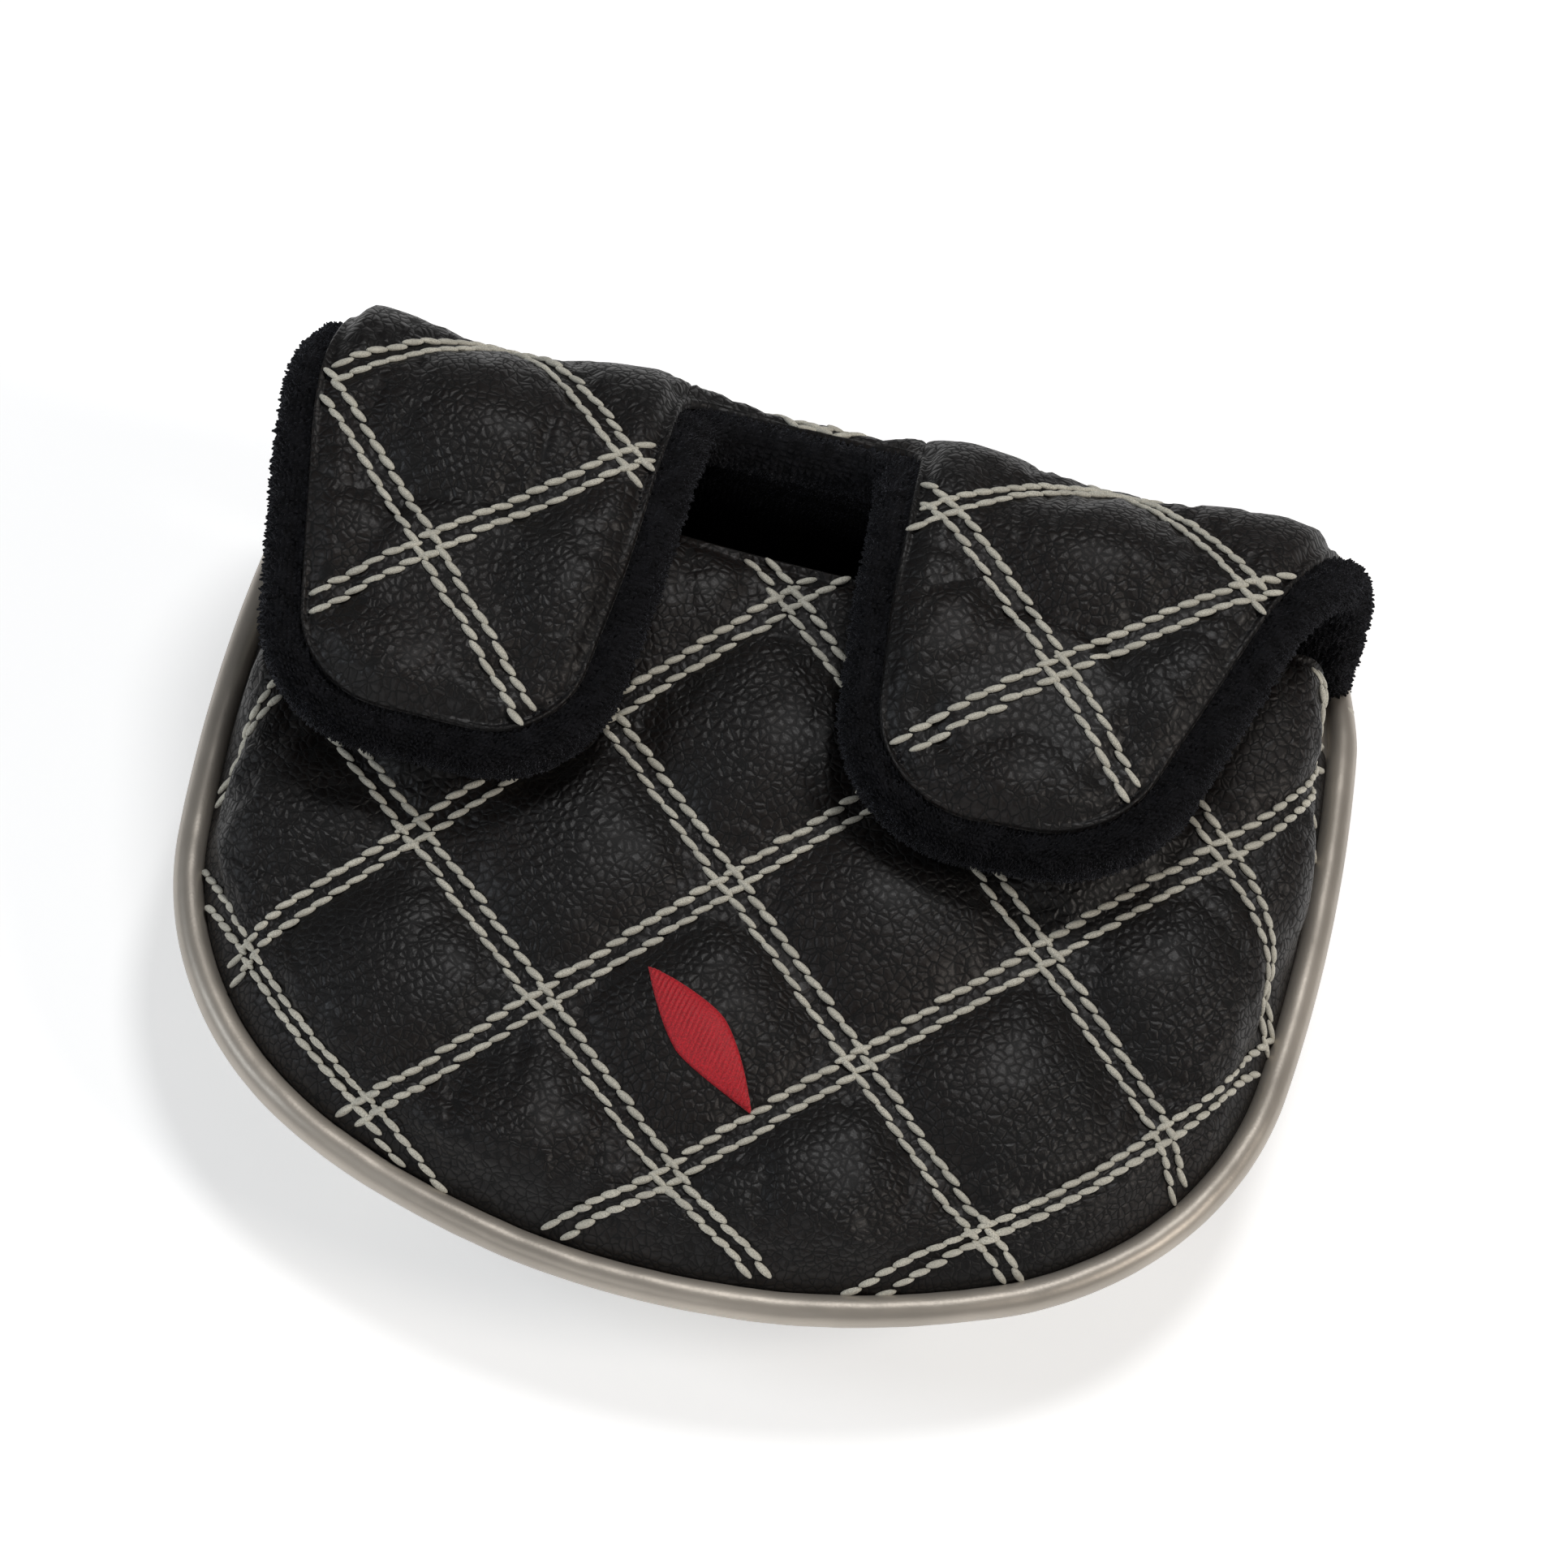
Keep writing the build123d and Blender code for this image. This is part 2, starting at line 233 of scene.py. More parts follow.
def noise(x, y, seed):
    """Smooth noise between -1 and 1 with features one unit wide."""
    table = np.random.default_rng(seed).uniform(-1, 1, (97, 89))
    column, row = np.floor(x).astype(int), np.floor(y).astype(int)
    across, along = smooth(x - column), smooth(y - row)

    def knot(i, j):
        return table[(column + i) % 97, (row + j) % 89]

    near = knot(0, 0) * (1 - across) + knot(1, 0) * across
    far = knot(0, 1) * (1 - across) + knot(1, 1) * across
    return near * (1 - along) + far * along


def unit(vectors):
    """The same directions, one long."""
    return vectors / np.maximum(np.linalg.norm(vectors, axis=-1, keepdims=True), 1e-12)


class Outline:
    """The D-shaped plan: three tangent arcs a side, from the middle of the rear."""

    def __init__(self, form):
        turns = np.array([0.0, form.rear_sweep, form.corner_end])
        corner_reach = form.corner_radius * (math.sin(turns[2]) - math.sin(turns[1]))
        side_reach = form.side_radius * (1 - math.sin(turns[2]))
        rear_radius = (high.x - corner_reach - side_reach) / math.sin(turns[1])
        self.turns = turns
        self.radii = np.array([rear_radius, form.corner_radius, form.side_radius])
        centres = [np.array([0.0, low.y + rear_radius])]
        for arc in (1, 2):
            facing = np.array([math.sin(turns[arc]), -math.cos(turns[arc])])
            step = (self.radii[arc - 1] - self.radii[arc]) * facing
            centres.append(centres[-1] + step)
        self.centres = np.array(centres)

    def point(self, run, inset):
        """Points at signed distances from the rear's middle along the outline."""
        radii = self.radii - inset
        first = radii[0] * self.turns[1]
        second = first + radii[1] * (self.turns[2] - self.turns[1])
        far = np.abs(run)
        arc = (far > first).astype(int) + (far > second)
        start = np.array([0.0, first, second])[arc]
        turn = self.turns[arc] + (far - start) / radii[arc]
        facing = np.stack([np.sin(turn), -np.cos(turn)], -1)
        points = self.centres[arc] + radii[arc][..., None] * facing
        points[..., 0] *= np.where(run < 0, -1, 1)
        return points

    def foot(self, points):
        """Distance outside the outline, and the outward direction, for each point."""
        right = np.abs(points[..., 0])
        turn = []
        for centre in self.centres[:2]:
            turn.append(np.arctan2(right - centre[0], centre[1] - points[..., 1]))
        in_rear = turn[0] < self.turns[1]
        in_corner = (turn[1] > self.turns[1] * 0.99) & (turn[1] < self.turns[2])
        arc = np.where(in_rear, 0, np.where(in_corner, 1, 2))
        away = np.stack([right, points[..., 1]], -1) - self.centres[arc]
        out = np.linalg.norm(away, axis=-1) - self.radii[arc]
        facing = unit(away)
        facing[..., 0] *= np.where(points[..., 0] < 0, -1, 1)
        return out, facing


def side_by_side(points, vectors):
    """Plan points and heights as points in space."""
    return np.concatenate([points, vectors[..., None]], -1)


class Crown:
    """The crown's outside: a sloping dome, a round shoulder and a side down to the seam.

    Its flat pattern is the plan, with the shoulder and side laid out round the edge.
    """

    skirt = 14 * mm  # how far the pattern runs past the shoulder
    snug = 0.25 * mm  # how far the leather bears on the piping

    def __init__(self, form):
        self.form = form
        self.plan = Outline(form)
        self.inset = piping_diameter + 0.05 * mm
        self.radius = form.shoulder_radius
        self.bottom = crown_bottom
        half = high.x - 8 * mm
        self.bow_radius = (half**2 + form.mouth_bow**2) / (2 * form.mouth_bow)

    def top(self, points):
        form = self.form
        slope = math.tan(form.crown_slope)
        crest = seam_z + form.crown_rear_height + (points[..., 1] - low.y) * slope
        drop = form.dome_radius - np.sqrt(form.dome_radius**2 - points[..., 0] ** 2)
        return crest - drop / math.cos(form.crown_slope)

    def front(self, across):
        """The mouth's edge: its depth at each place across."""
        form = self.form
        reach = np.minimum(np.abs(across), high.x - self.inset)
        bow = self.bow_radius - np.sqrt(self.bow_radius**2 - reach**2)
        wrap = 3.4 * mm + 5.5 * mm
        return wall_y - wrap - form.shaft_room + bow

    def facing(self, points):
        """Upward direction of the top surface."""
        across = points[..., 0] / np.sqrt(self.form.dome_radius**2 - points[..., 0] ** 2)
        slope = math.tan(self.form.crown_slope)
        flat = np.ones_like(across)
        return unit(np.stack([across, -slope * flat, flat], -1))

    def place(self, pattern):
        """Points, outward directions and quilting places of points of the flat pattern."""
        out, away = self.plan.foot(pattern)
        past = out + self.inset + self.radius  # beyond the start of the shoulder
        foot = pattern - away * np.maximum(past, 0)[..., None]
        top = self.top(foot)
        side = top - self.radius - self.bottom if self.upward() else self.side_height()
        quarter = self.radius * math.pi / 2
        run = np.maximum(past, 0) / self.skirt * (quarter + side)
        turn = np.minimum(run / self.radius, math.pi / 2)
        reach = foot + away * (self.radius * np.sin(turn))[..., None]
        drop = self.radius * (1 - np.cos(turn)) + np.maximum(run - quarter, 0)
        up = 1 if self.upward() else -1
        points = side_by_side(reach, top - up * drop)
        ahead = side_by_side(away, np.zeros_like(turn)) * np.sin(turn)[..., None]
        facing = unit(self.facing(foot) * np.cos(turn)[..., None] + ahead)
        return points, facing, foot + away * run[..., None]

    def relief(self, points, height):
        """The quilting's relief, fading to a snug fit along the seam."""
        above = np.abs(points[..., 2] - seam_z)
        fade = smooth((above - 0.4 * mm) / (5.5 * mm))
        return height * fade + self.snug * (1 - fade)

    def upward(self):
        return True

    def sheet(self, cell):
        """A grid of pattern points over the whole panel."""
        inset = self.inset + self.radius - self.skirt
        reach = np.linspace(60 * mm, 190 * mm, 2600)
        side = self.plan.point(reach, inset)
        end = np.interp(0, side[:, 1] - self.front(side[:, 0]), reach)
        corner = end * 0.47
        columns = int(2 * corner / cell)
        rows = int((side[:, 1].max() * 0 + self.front(0) - low.y + self.skirt) / cell)

        def rear(share):
            return self.plan.point((2 * share - 1) * corner, inset)

        def leg(sign):
            return lambda share: self.plan.point(sign * (corner + share * (end - corner)), inset)

        half = self.plan.point(np.array([end]), inset)[0, 0]

        def mouth(share):
            across = (2 * share - 1) * half
            return np.stack([across, self.front(across)], -1)

        columns_at, rows_at = np.linspace(0, 1, columns + 1), spaced(rows, 0, 3.4 / 95)
        return patch(rear, mouth, leg(-1), leg(1), columns_at, rows_at)


class Sole(Crown):
    """The sole's outside: flat, with a round edge and a side up to the seam."""

    skirt = 26 * mm

    def __init__(self, form):
        super().__init__(form)
        self.radius = form.sole_radius

    def top(self, points):
        return np.zeros_like(points[..., 0])

    def facing(self, points):
        down = np.zeros(points.shape[:-1] + (3,))
        down[..., 2] = -1
        return down

    def relief(self, points, height):
        return super().relief(points, np.minimum(height - 0.75 * mm, 0))

    def front(self, across):
        return np.full_like(across, wall_y - self.form.heel_fold_radius, dtype=float)

    def side_height(self):
        return sole_top - self.radius

    def upward(self):
        return False


class Wrap:
    """The outside of the front wall and flaps, unrolled.

    Its flat pattern is (across, run): run is 0 at the top of the upright wall, grows over
    the top fold and back along the flaps, and is negative down the wall to the heel fold.
    """

    def __init__(self, form):
        self.heel = form.heel_fold_radius
        self.fold = form.top_fold_radius
        self.slope = form.crown_slope
        self.fold_y, self.fold_z = wall_y - self.fold, fold_crest - self.fold
        self.wall = self.fold_z - self.heel
        self.turned = math.pi / 2 + self.slope
        self.plate = self.fold * self.turned  # run where the flaps leave the fold
        self.heel_run = -self.wall - self.heel * math.pi / 2
        self.tangent_y = self.fold_y - self.fold * math.sin(self.slope)

    def relief(self, points, height):
        return height

    def run_at(self, y):
        """Run of the point on a flap at depth y."""
        return self.plate + (self.tangent_y - y) / math.cos(self.slope)

    def place(self, pattern):
        """Points, outward directions and quilting places of points of the flat pattern."""
        across, run = pattern[..., 0], pattern[..., 1]
        turn = np.clip(run / self.fold, 0, self.turned)
        past = np.maximum(run - self.plate, 0)
        heel_turn = np.clip((-self.wall - run) / self.heel, 0, math.pi / 2)
        down = np.clip(-run, 0, self.wall)
        y = self.fold_y + self.fold * np.cos(turn) - past * math.cos(self.slope)
        z = self.fold_z + self.fold * np.sin(turn) - past * math.sin(self.slope) - down
        y = y - self.heel * (1 - np.cos(heel_turn))
        z = z - self.heel * np.sin(heel_turn)
        before = np.maximum(self.heel_run - run, 0)  # flat stretch under the sole
        facing_turn = turn - heel_turn
        facing = np.stack([0 * y, np.cos(facing_turn), np.sin(facing_turn)], -1)
        return np.stack([across, y - before, z], -1), facing, pattern * [1, -1]


def spaced(cells, start_rim=0.0, end_rim=0.0, rim_cells=7):
    """Shares from 0 to 1, closer together over the rims so that a round edge is smooth."""
    curve = 1 - np.cos(np.linspace(0, math.pi / 2, rim_cells + 1))
    first = curve * start_rim if start_rim else np.array([0.0])
    last = 1 - curve[::-1] * end_rim if end_rim else np.array([1.0])
    middle = np.linspace(first[-1], last[0], cells - len(first) - len(last) + 3)
    return np.concatenate([first[:-1], middle, last[1:]])


def patch(bottom, top, left, right, columns_at, rows_at):
    """Grid of pattern points inside four sides, each a function of a share from 0 to 1."""
    low_side, high_side = bottom(columns_at)[None], top(columns_at)[None]
    left_side, right_side = left(rows_at)[:, None], right(rows_at)[:, None]
    u, v = columns_at[None, :, None], rows_at[:, None, None]
    corners = (1 - u) * (1 - v) * low_side[:, :1] + u * (1 - v) * low_side[:, -1:]
    corners = corners + (1 - u) * v * high_side[:, :1] + u * v * high_side[:, -1:]
    ruled = (1 - v) * low_side + v * high_side + (1 - u) * left_side + u * right_side
    return ruled - corners


def rounded_path(corners, step=0.05 * mm):
    """Close-set points along straight runs whose corners (x, y, radius) are rounded."""
    runs = []
    spots = [np.array(corner[:2]) for corner in corners]
    for index, corner in enumerate(corners):
        here, radius = spots[index], corner[2]
        if not radius:
            runs.append([here])
            continue
        back, ahead = unit(spots[index - 1] - here), unit(spots[index + 1] - here)
        half = math.acos(float(np.clip(back @ ahead, -1, 1))) / 2
        centre = here + unit(back + ahead) * radius / math.sin(half)
        first = here + back * radius / math.tan(half) - centre
        last = here + ahead * radius / math.tan(half) - centre
        sweep = math.pi - 2 * half
        shares = np.linspace(0, 1, 24)[:, None]
        arc = np.sin((1 - shares) * sweep) * first + np.sin(shares * sweep) * last
        runs.append(centre + arc / math.sin(sweep))
    rough = np.concatenate(runs)
    lengths = np.concatenate([[0], np.cumsum(np.linalg.norm(np.diff(rough, axis=0), axis=1))])
    even = np.linspace(0, lengths[-1], int(lengths[-1] / step))
    return np.stack([np.interp(even, lengths, rough[:, axis]) for axis in (0, 1)], -1)


def along(path):
    """A path of close-set points as a function of a share from 0 to 1."""
    places = np.linspace(0, 1, len(path))
    return lambda share: np.stack([np.interp(share, places, path[:, k]) for k in (0, 1)], -1)


def nearest(path, point):
    """Index of the path's point nearest to a point."""
    return int(np.argmin(np.linalg.norm(path - np.array(point), axis=1)))


def edge_distance(pattern, edges):
    """How far each pattern point is from a free edge of its panel."""
    points = np.concatenate(edges)
    tree = kdtree.KDTree(len(points))
    for index, point in enumerate(points):
        tree.insert((point[0], point[1], 0), index)
    tree.balance()
    flat = pattern.reshape(-1, 2)
    found = [tree.find((x, y, 0))[2] for x, y in flat]
    distance = np.array(found).reshape(pattern.shape[:-1])
    return np.where(distance < 0.03 * mm, 0, distance)


# ---------------------------------------------------------------- quilting


class Quilt:
    """A diamond lattice laid on a panel's pattern.

    Its coordinates are distances across its two families of seams, so a seam lies
    wherever one of them is a whole number of spacings.
    """

    def __init__(self, settings, origin, turn, shift=None):
        self.settings = settings
        self.origin, self.turn, self.shift = np.array(origin), turn, shift
        across, along_ = settings.across, settings.along
        self.spacing = 2 * across * along_ / math.hypot(across, along_)

    def coordinates(self, places):
        """Lattice coordinates of places on the panel."""
        moved = places - self.origin
        if self.shift:
            moved = moved + self.shift(places)
        cosine, sine = math.cos(self.turn), math.sin(self.turn)
        x = moved[..., 0] * cosine + moved[..., 1] * sine
        y = moved[..., 1] * cosine - moved[..., 0] * sine
        x, y = x / self.settings.across / 2, y / self.settings.along / 2
        return np.stack([x + y, x - y], -1) * self.spacing

    def relief(self, lattice, seed):
        """Height of the leather over its resting surface."""
        settings = self.settings
        half_gap = settings.row_gap / 2
        wobble = noise(lattice[..., 0] / (9 * mm), lattice[..., 1] / (9 * mm), seed)
        rise, pucker = 1.0, 0.0
        for family in (0, 1):
            here, other = lattice[..., family], lattice[..., 1 - family]
            off = np.abs(here - np.round(here / self.spacing) * self.spacing)
            past = np.maximum(off - half_gap, 0)
            full = self.spacing / 2 - half_gap
            softness = 6.5 * mm * (1 + 0.25 * wobble)
            slope = (1 - np.exp(-past / softness)) / (1 - np.exp(-full / softness))
            between = 0.16 * np.maximum(1 - (off / half_gap) ** 2, 0)
            rise = rise * np.where(off < half_gap, between, slope)
            gather = noise(other / (1.5 * mm), here / (5.5 * mm), seed + 3 + family)
            gather = gather + 0.5 * noise(other / (0.85 * mm), here / (4 * mm), seed + 5)
            reach = np.exp(-past / (2.6 * mm)) * smooth(past / (0.7 * mm))
            pucker = pucker + gather * reach
        height = -settings.channel + (settings.channel + settings.puff) * rise
        creases = noise(lattice[..., 0] / (5 * mm), lattice[..., 1] / (3.2 * mm), seed + 9)
        height = height + 0.17 * mm * pucker + 0.08 * mm * creases * rise
        return height + 0.18 * mm * wobble * rise, rise


class Panel:
    """A quilted panel's outer surface, where thread and emblem find their places."""

    def __init__(self, lattice, points, facing):
        self.lattice, self.points = lattice, points
        along_rows = np.gradient(points, axis=0)
        along_columns = np.gradient(points, axis=1)
        normals = unit(np.cross(along_columns, along_rows))
        flip = np.sign(np.sum(normals * facing, -1, keepdims=True))
        self.normals = normals * np.where(flip == 0, 1, flip)
        self.tree = kdtree.KDTree(lattice.shape[0] * lattice.shape[1])
        for index, (a, b) in enumerate(lattice.reshape(-1, 2)):
            self.tree.insert((a, b, 0), index)
        self.tree.balance()

    def at(self, a, b, reach=0.9 * mm):
        """The surface point and outward direction at lattice coordinates, or None."""
        _, index, distance = self.tree.find((a, b, 0))
        if distance > reach:
            return None
        rows, columns = self.lattice.shape[:2]
        row, column = divmod(index, columns)
        if not (0 < row < rows - 1 and 0 < column < columns - 1):
            return None
        step_row = (self.lattice[row + 1, column] - self.lattice[row - 1, column]) / 2
        step_column = (self.lattice[row, column + 1] - self.lattice[row, column - 1]) / 2
        jacobian = np.stack([step_row, step_column], 1)
        if abs(np.linalg.det(jacobian)) < 1e-12:
            return None
        rest = np.linalg.solve(jacobian, np.array([a, b]) - self.lattice[row, column])
        rest = np.clip(rest, -1, 1)
        point = self.points[row, column].copy()
        for share, axis in zip(rest, (0, 1)):
            ahead = [row, column]
            ahead[axis] += 1 if share > 0 else -1
            point += abs(share) * (self.points[tuple(ahead)] - self.points[row, column])
        return Vector(point), Vector(self.normals[row, column])


# ---------------------------------------------------------------- meshes


def finish_mesh(name, shaped, material):
    """An object at the origin from a finished bmesh."""
    mesh = bpy.data.meshes.new(name)
    shaped.to_mesh(mesh)
    shaped.free()
    mesh.shade_smooth()
    mesh.materials.append(material)
    piece = bpy.data.objects.new(name, mesh)
    bpy.context.scene.collection.objects.link(piece)
    return piece


def slab(rows, columns):
    """A flat grid with a thickness, closed all round: outer sheet at 0, inner below it."""
    shaped = bmesh.new()
    bmesh.ops.create_grid(shaped, x_segments=columns, y_segments=rows, size=0.5)
    bmesh.ops.solidify(shaped, geom=shaped.faces[:], thickness=1.0)
    return shaped


def mould(shaped, outer, inner, lattice):
    """Moves a slab's vertices to the outer and inner sheets, and stores the pattern."""
    rows, columns = outer.shape[0] - 1, outer.shape[1] - 1
    pattern = shaped.verts.layers.float_vector.new("pattern")
    for vertex in shaped.verts:
        column = round((vertex.co.x + 0.5) * columns)
        row = round((vertex.co.y + 0.5) * rows)
        sheet = outer if vertex.co.z > -0.5 else inner
        a, b = lattice[row, column]
        vertex[pattern] = (a, b, 0 if sheet is outer else 0.02)
        vertex.co = sheet[row, column]
    bmesh.ops.remove_doubles(shaped, verts=shaped.verts[:], dist=0.004 * mm)
    bmesh.ops.recalc_face_normals(shaped, faces=shaped.faces[:])


def rounded_depths(edge, depth, meet):
    """Depths of a sheet that rounds over at a free edge to meet its pad's other sheet."""
    radius = abs(meet - depth)
    if radius < 0.01 * mm:
        return np.full(edge.shape, depth)
    share = 1 - np.sqrt(1 - (1 - np.clip(edge / radius, 0, 1)) ** 2)
    return depth + (meet - depth) * share


def coarser(count):
    """About every second index of a row, with both ends."""
    return np.unique(np.linspace(0, count - 1, count // 2 + 1).round().astype(int))


def refine(values, kept_rows, kept_columns, rows, columns):
    """Values of a coarser grid at every point of the full one."""
    wide = np.array([np.interp(range(columns), kept_columns, row) for row in values])
    return np.array([np.interp(range(rows), kept_rows, column) for column in wide.T]).T


def swell(points, facing, held):
    """How far a pad's wadding pushes its leather out between the stitches.

    A cloth simulation at ten times the size, held along the seams and edges.
    """
    enlarged, frames = 10, 20
    rows, columns = held.shape
    kept_rows, kept_columns = coarser(rows), coarser(columns)
    kept = np.ix_(kept_rows, kept_columns)
    shaped = bmesh.new()
    across, deep = len(kept_columns) - 1, len(kept_rows) - 1
    bmesh.ops.create_grid(shaped, x_segments=across, y_segments=deep, size=0.5)
    places = [(round((v.co.y + 0.5) * deep), round((v.co.x + 0.5) * across))
              for v in shaped.verts]
    row, column = np.array(places).T
    rest = points[kept][row, column]
    for vertex, place in zip(shaped.verts, rest * enlarged):
        vertex.co = place
    shaped.normal_update()
    shaped.verts.ensure_lookup_table()
    middle = len(rest) // 2
    if shaped.verts[middle].normal.dot(Vector(facing[kept][row, column][middle])) < 0:
        bmesh.ops.reverse_faces(shaped, faces=shaped.faces[:])
    mesh = bpy.data.meshes.new("swelling")
    shaped.to_mesh(mesh)
    shaped.free()
    sheet = bpy.data.objects.new("swelling", mesh)
    scene = bpy.context.scene
    scene.collection.objects.link(sheet)
    pins = sheet.vertex_groups.new(name="held")
    pins.add(np.nonzero(held[kept][row, column])[0].tolist(), 1.0, "REPLACE")
    cloth = sheet.modifiers.new("swelling", "CLOTH")
    cloth.point_cache.frame_end = frames
    cloth.settings.vertex_group_mass = "held"
    cloth.settings.effector_weights.gravity = 0
    cloth.settings.use_pressure = True
    cloth.settings.uniform_pressure_force = 4
    cloth.settings.shrink_min = -0.06
    for frame_number in range(1, frames + 1):
        scene.frame_set(frame_number)
    settled = sheet.evaluated_get(bpy.context.evaluated_depsgraph_get()).data
    ends = np.empty(len(rest) * 3)
    settled.vertices.foreach_get("co", ends)
    risen = np.sum((ends.reshape(-1, 3) / enlarged - rest) * facing[kept][row, column], -1)
    bpy.data.objects.remove(sheet)
    scene.frame_set(1)
    coarse = np.zeros((len(kept_rows), len(kept_columns)))
    coarse[row, column] = np.maximum(risen, 0)
    return refine(coarse, kept_rows, kept_columns, rows, columns)


def clear_of_magnets(points, height):
    """Keeps the channels shallow over the magnets, which lie just under the leather."""
    for side in ("left", "right"):
        for place in ("flap", "crown"):
            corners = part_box(f"{side}_{place}_magnet")
            middle = np.array(corners[0] + corners[1]) / 2
            off = np.linalg.norm(points - middle, axis=-1)
            share = smooth((11.5 * mm - off) / (2.5 * mm))
            height = height + (np.maximum(height, -0.85 * mm) - height) * share
    return height


def quilted_pad(name, surface, pattern, edge, quilt, seed, material, depth):
    """A quilted leather pad: the piece, and its panel for thread and emblem."""
    settings = quilt.settings
    points, facing, places = surface.place(pattern)
    lattice = quilt.coordinates(places)
    height, rise = quilt.relief(lattice, seed)
    off = np.abs(lattice - np.round(lattice / quilt.spacing) * quilt.spacing)
    held = (off.min(-1) < settings.row_gap / 2 + 0.2 * mm) | (edge < 1.5 * mm)
    held[[0, -1]], held[:, [0, -1]] = True, True
    risen = settings.swell * (1 - np.exp(-swell(points, facing, held) / settings.swell))
    height = height + risen - settings.swell * rise
    height = clear_of_magnets(points, surface.relief(points, height))
    height = height * smooth(edge / (1.2 * mm) + 0.15) - rounded_depths(edge, 0, depth)
    outer = points + facing * height[..., None]
    inner = points - facing * rounded_depths(edge, depth, depth)[..., None]
    shaped = slab(pattern.shape[0] - 1, pattern.shape[1] - 1)
    mould(shaped, outer, inner, lattice)
    piece = finish_mesh(name, shaped, material)
    return piece, Panel(lattice, outer, facing)


def fleece_pad(name, surface, pattern, edge, outside, inside, material, seed, bare=None):
    """A fleece pad with a rolled edge, furred where it shows."""
    pile = bpy.context.scene.head_cover.layers.pile_length
    middle = (outside + inside) / 2
    points, facing, places = surface.place(pattern)
    loft = 0.2 * mm * noise(places[..., 0] / (1.6 * mm), places[..., 1] / (1.6 * mm), seed)
    depths = [rounded_depths(edge, depth, middle)
              for depth in (outside + 0.5 * pile, inside - 0.5 * pile)]
    outer, inner = (points - facing * (depth + loft)[..., None] for depth in depths)
    rows, columns = pattern.shape[0] - 1, pattern.shape[1] - 1
    shaped = slab(rows, columns)
    covered = shaped.verts.layers.float.new("covered")
    for vertex in shaped.verts:
        row, column = round((vertex.co.y + 0.5) * rows), round((vertex.co.x + 0.5) * columns)
        hidden = vertex.co.z > -0.5 and bare is not None and bare[row, column]
        vertex[covered] = 1.0 if hidden else 0.0
    mould(shaped, outer, inner, places)
    brush_pile(shaped, covered, pile, seed)
    piece = finish_mesh(name, shaped, material)
    return piece


def brush_pile(shaped, covered, pile, seed):
    """Draws a tapered tuft out of every face that shows."""
    random = np.random.default_rng(seed)
    shown = [face for face in shaped.faces if sum(v[covered] for v in face.verts) < 0.5]
    normals = {face: face.normal.copy() for face in shown}
    lean_field = Vector((0.35, -0.2, -0.1))
    tufts = bmesh.ops.extrude_discrete_faces(shaped, faces=shown)["faces"]
    for face in tufts:
        middle = face.calc_center_median()
        normal = face.normal
        length = pile * random.uniform(0.55, 1.15)
        stray = Vector(random.uniform(-0.45, 0.45, 3)) + lean_field * 0.5
        tip = middle + (normal + stray).normalized() * length
        taper = random.uniform(0.12, 0.3)
        for vertex in face.verts:
            vertex.co = tip + (vertex.co - middle) * taper
    normals.clear()


def sew(name, panel, quilt, material, seed):
    """Every stitch of a panel's doubled seams, both ways."""
    settings = quilt.settings
    random = np.random.default_rng(seed)
    shaped = bmesh.new()
    lattice, spacing = panel.lattice, quilt.spacing
    for family in (0, 1):
        here, other = lattice[..., family], lattice[..., 1 - family]
        seams = range(math.floor(here.min() / spacing), math.ceil(here.max() / spacing) + 1)
        for seam in seams:
            for side in (-1, 1):
                row = bmesh.new()
                offset = seam * spacing + side * settings.row_gap / 2
                start = other.min() + (0.5 * settings.pitch if side > 0 else 0)
                for run in np.arange(start, other.max(), settings.pitch):
                    drift = 0.1 * mm * random.standard_normal(2)
                    ends = []
                    for way in (-0.5, 0.5):
                        spot = [0.0, 0.0]
                        spot[family] = offset + drift[0] + way * 0.55 * mm
                        spot[1 - family] = run + way * settings.stitch + 0.5 * drift[1]
                        ends.append(panel.at(*spot))
                    if None in ends:
                        continue
                    lay_stitch(row, ends, settings.thread, random)
                gathered = bpy.data.meshes.new(name)
                row.to_mesh(gathered)
                row.free()
                shaped.from_mesh(gathered)
                bpy.data.meshes.remove(gathered)
    return finish_mesh(name, shaped, material)


def lay_stitch(shaped, ends, thread, random):
    """One stitch: a plump grain of thread whose ends dive into the leather."""
    (first, first_normal), (last, last_normal) = ends
    run = last - first
    length = run.length
    if length < thread:
        return
    normal = (first_normal + last_normal).normalized()
    run.normalize()
    side = normal.cross(run).normalized()
    normal = run.cross(side)
    width = thread * random.uniform(0.46, 0.54)
    centre = (first + last) / 2 + normal * thread * 0.2
    axes = Matrix((run * length * 0.53, side * width, normal * width * 0.9)).transposed()
    placed = Matrix.Translation(centre) @ axes.to_4x4()
    bmesh.ops.create_uvsphere(shaped, u_segments=6, v_segments=6, radius=1, matrix=placed
                              @ Matrix.Rotation(math.pi / 2, 4, "Y"))


# ---------------------------------------------------------------- materials


class Signal:
    """A shader socket that can be used in arithmetic."""

    def __init__(self, shader, socket):
        self.shader, self.socket = shader, socket

    def math(self, operation, *values):
        return self.shader.node("ShaderNodeMath", {"operation": operation},
                                dict(enumerate(values)))

    def __add__(self, other):
        return self.math("ADD", self, other)

    def __sub__(self, other):
        return self.math("SUBTRACT", self, other)

    def __rsub__(self, other):
        return self.math("SUBTRACT", other, self)

    def __mul__(self, other):
        return self.math("MULTIPLY", self, other)

    def __pow__(self, other):
        return self.math("POWER", self, other)

    __radd__, __rmul__ = __add__, __mul__

    def between(self, start, end):
        """0 up to start, 1 from end, and smooth between."""
        return self.shader.node(
            "ShaderNodeMapRange", {"interpolation_type": "SMOOTHSTEP"},
            {"Value": self, "From Min": start, "From Max": end})


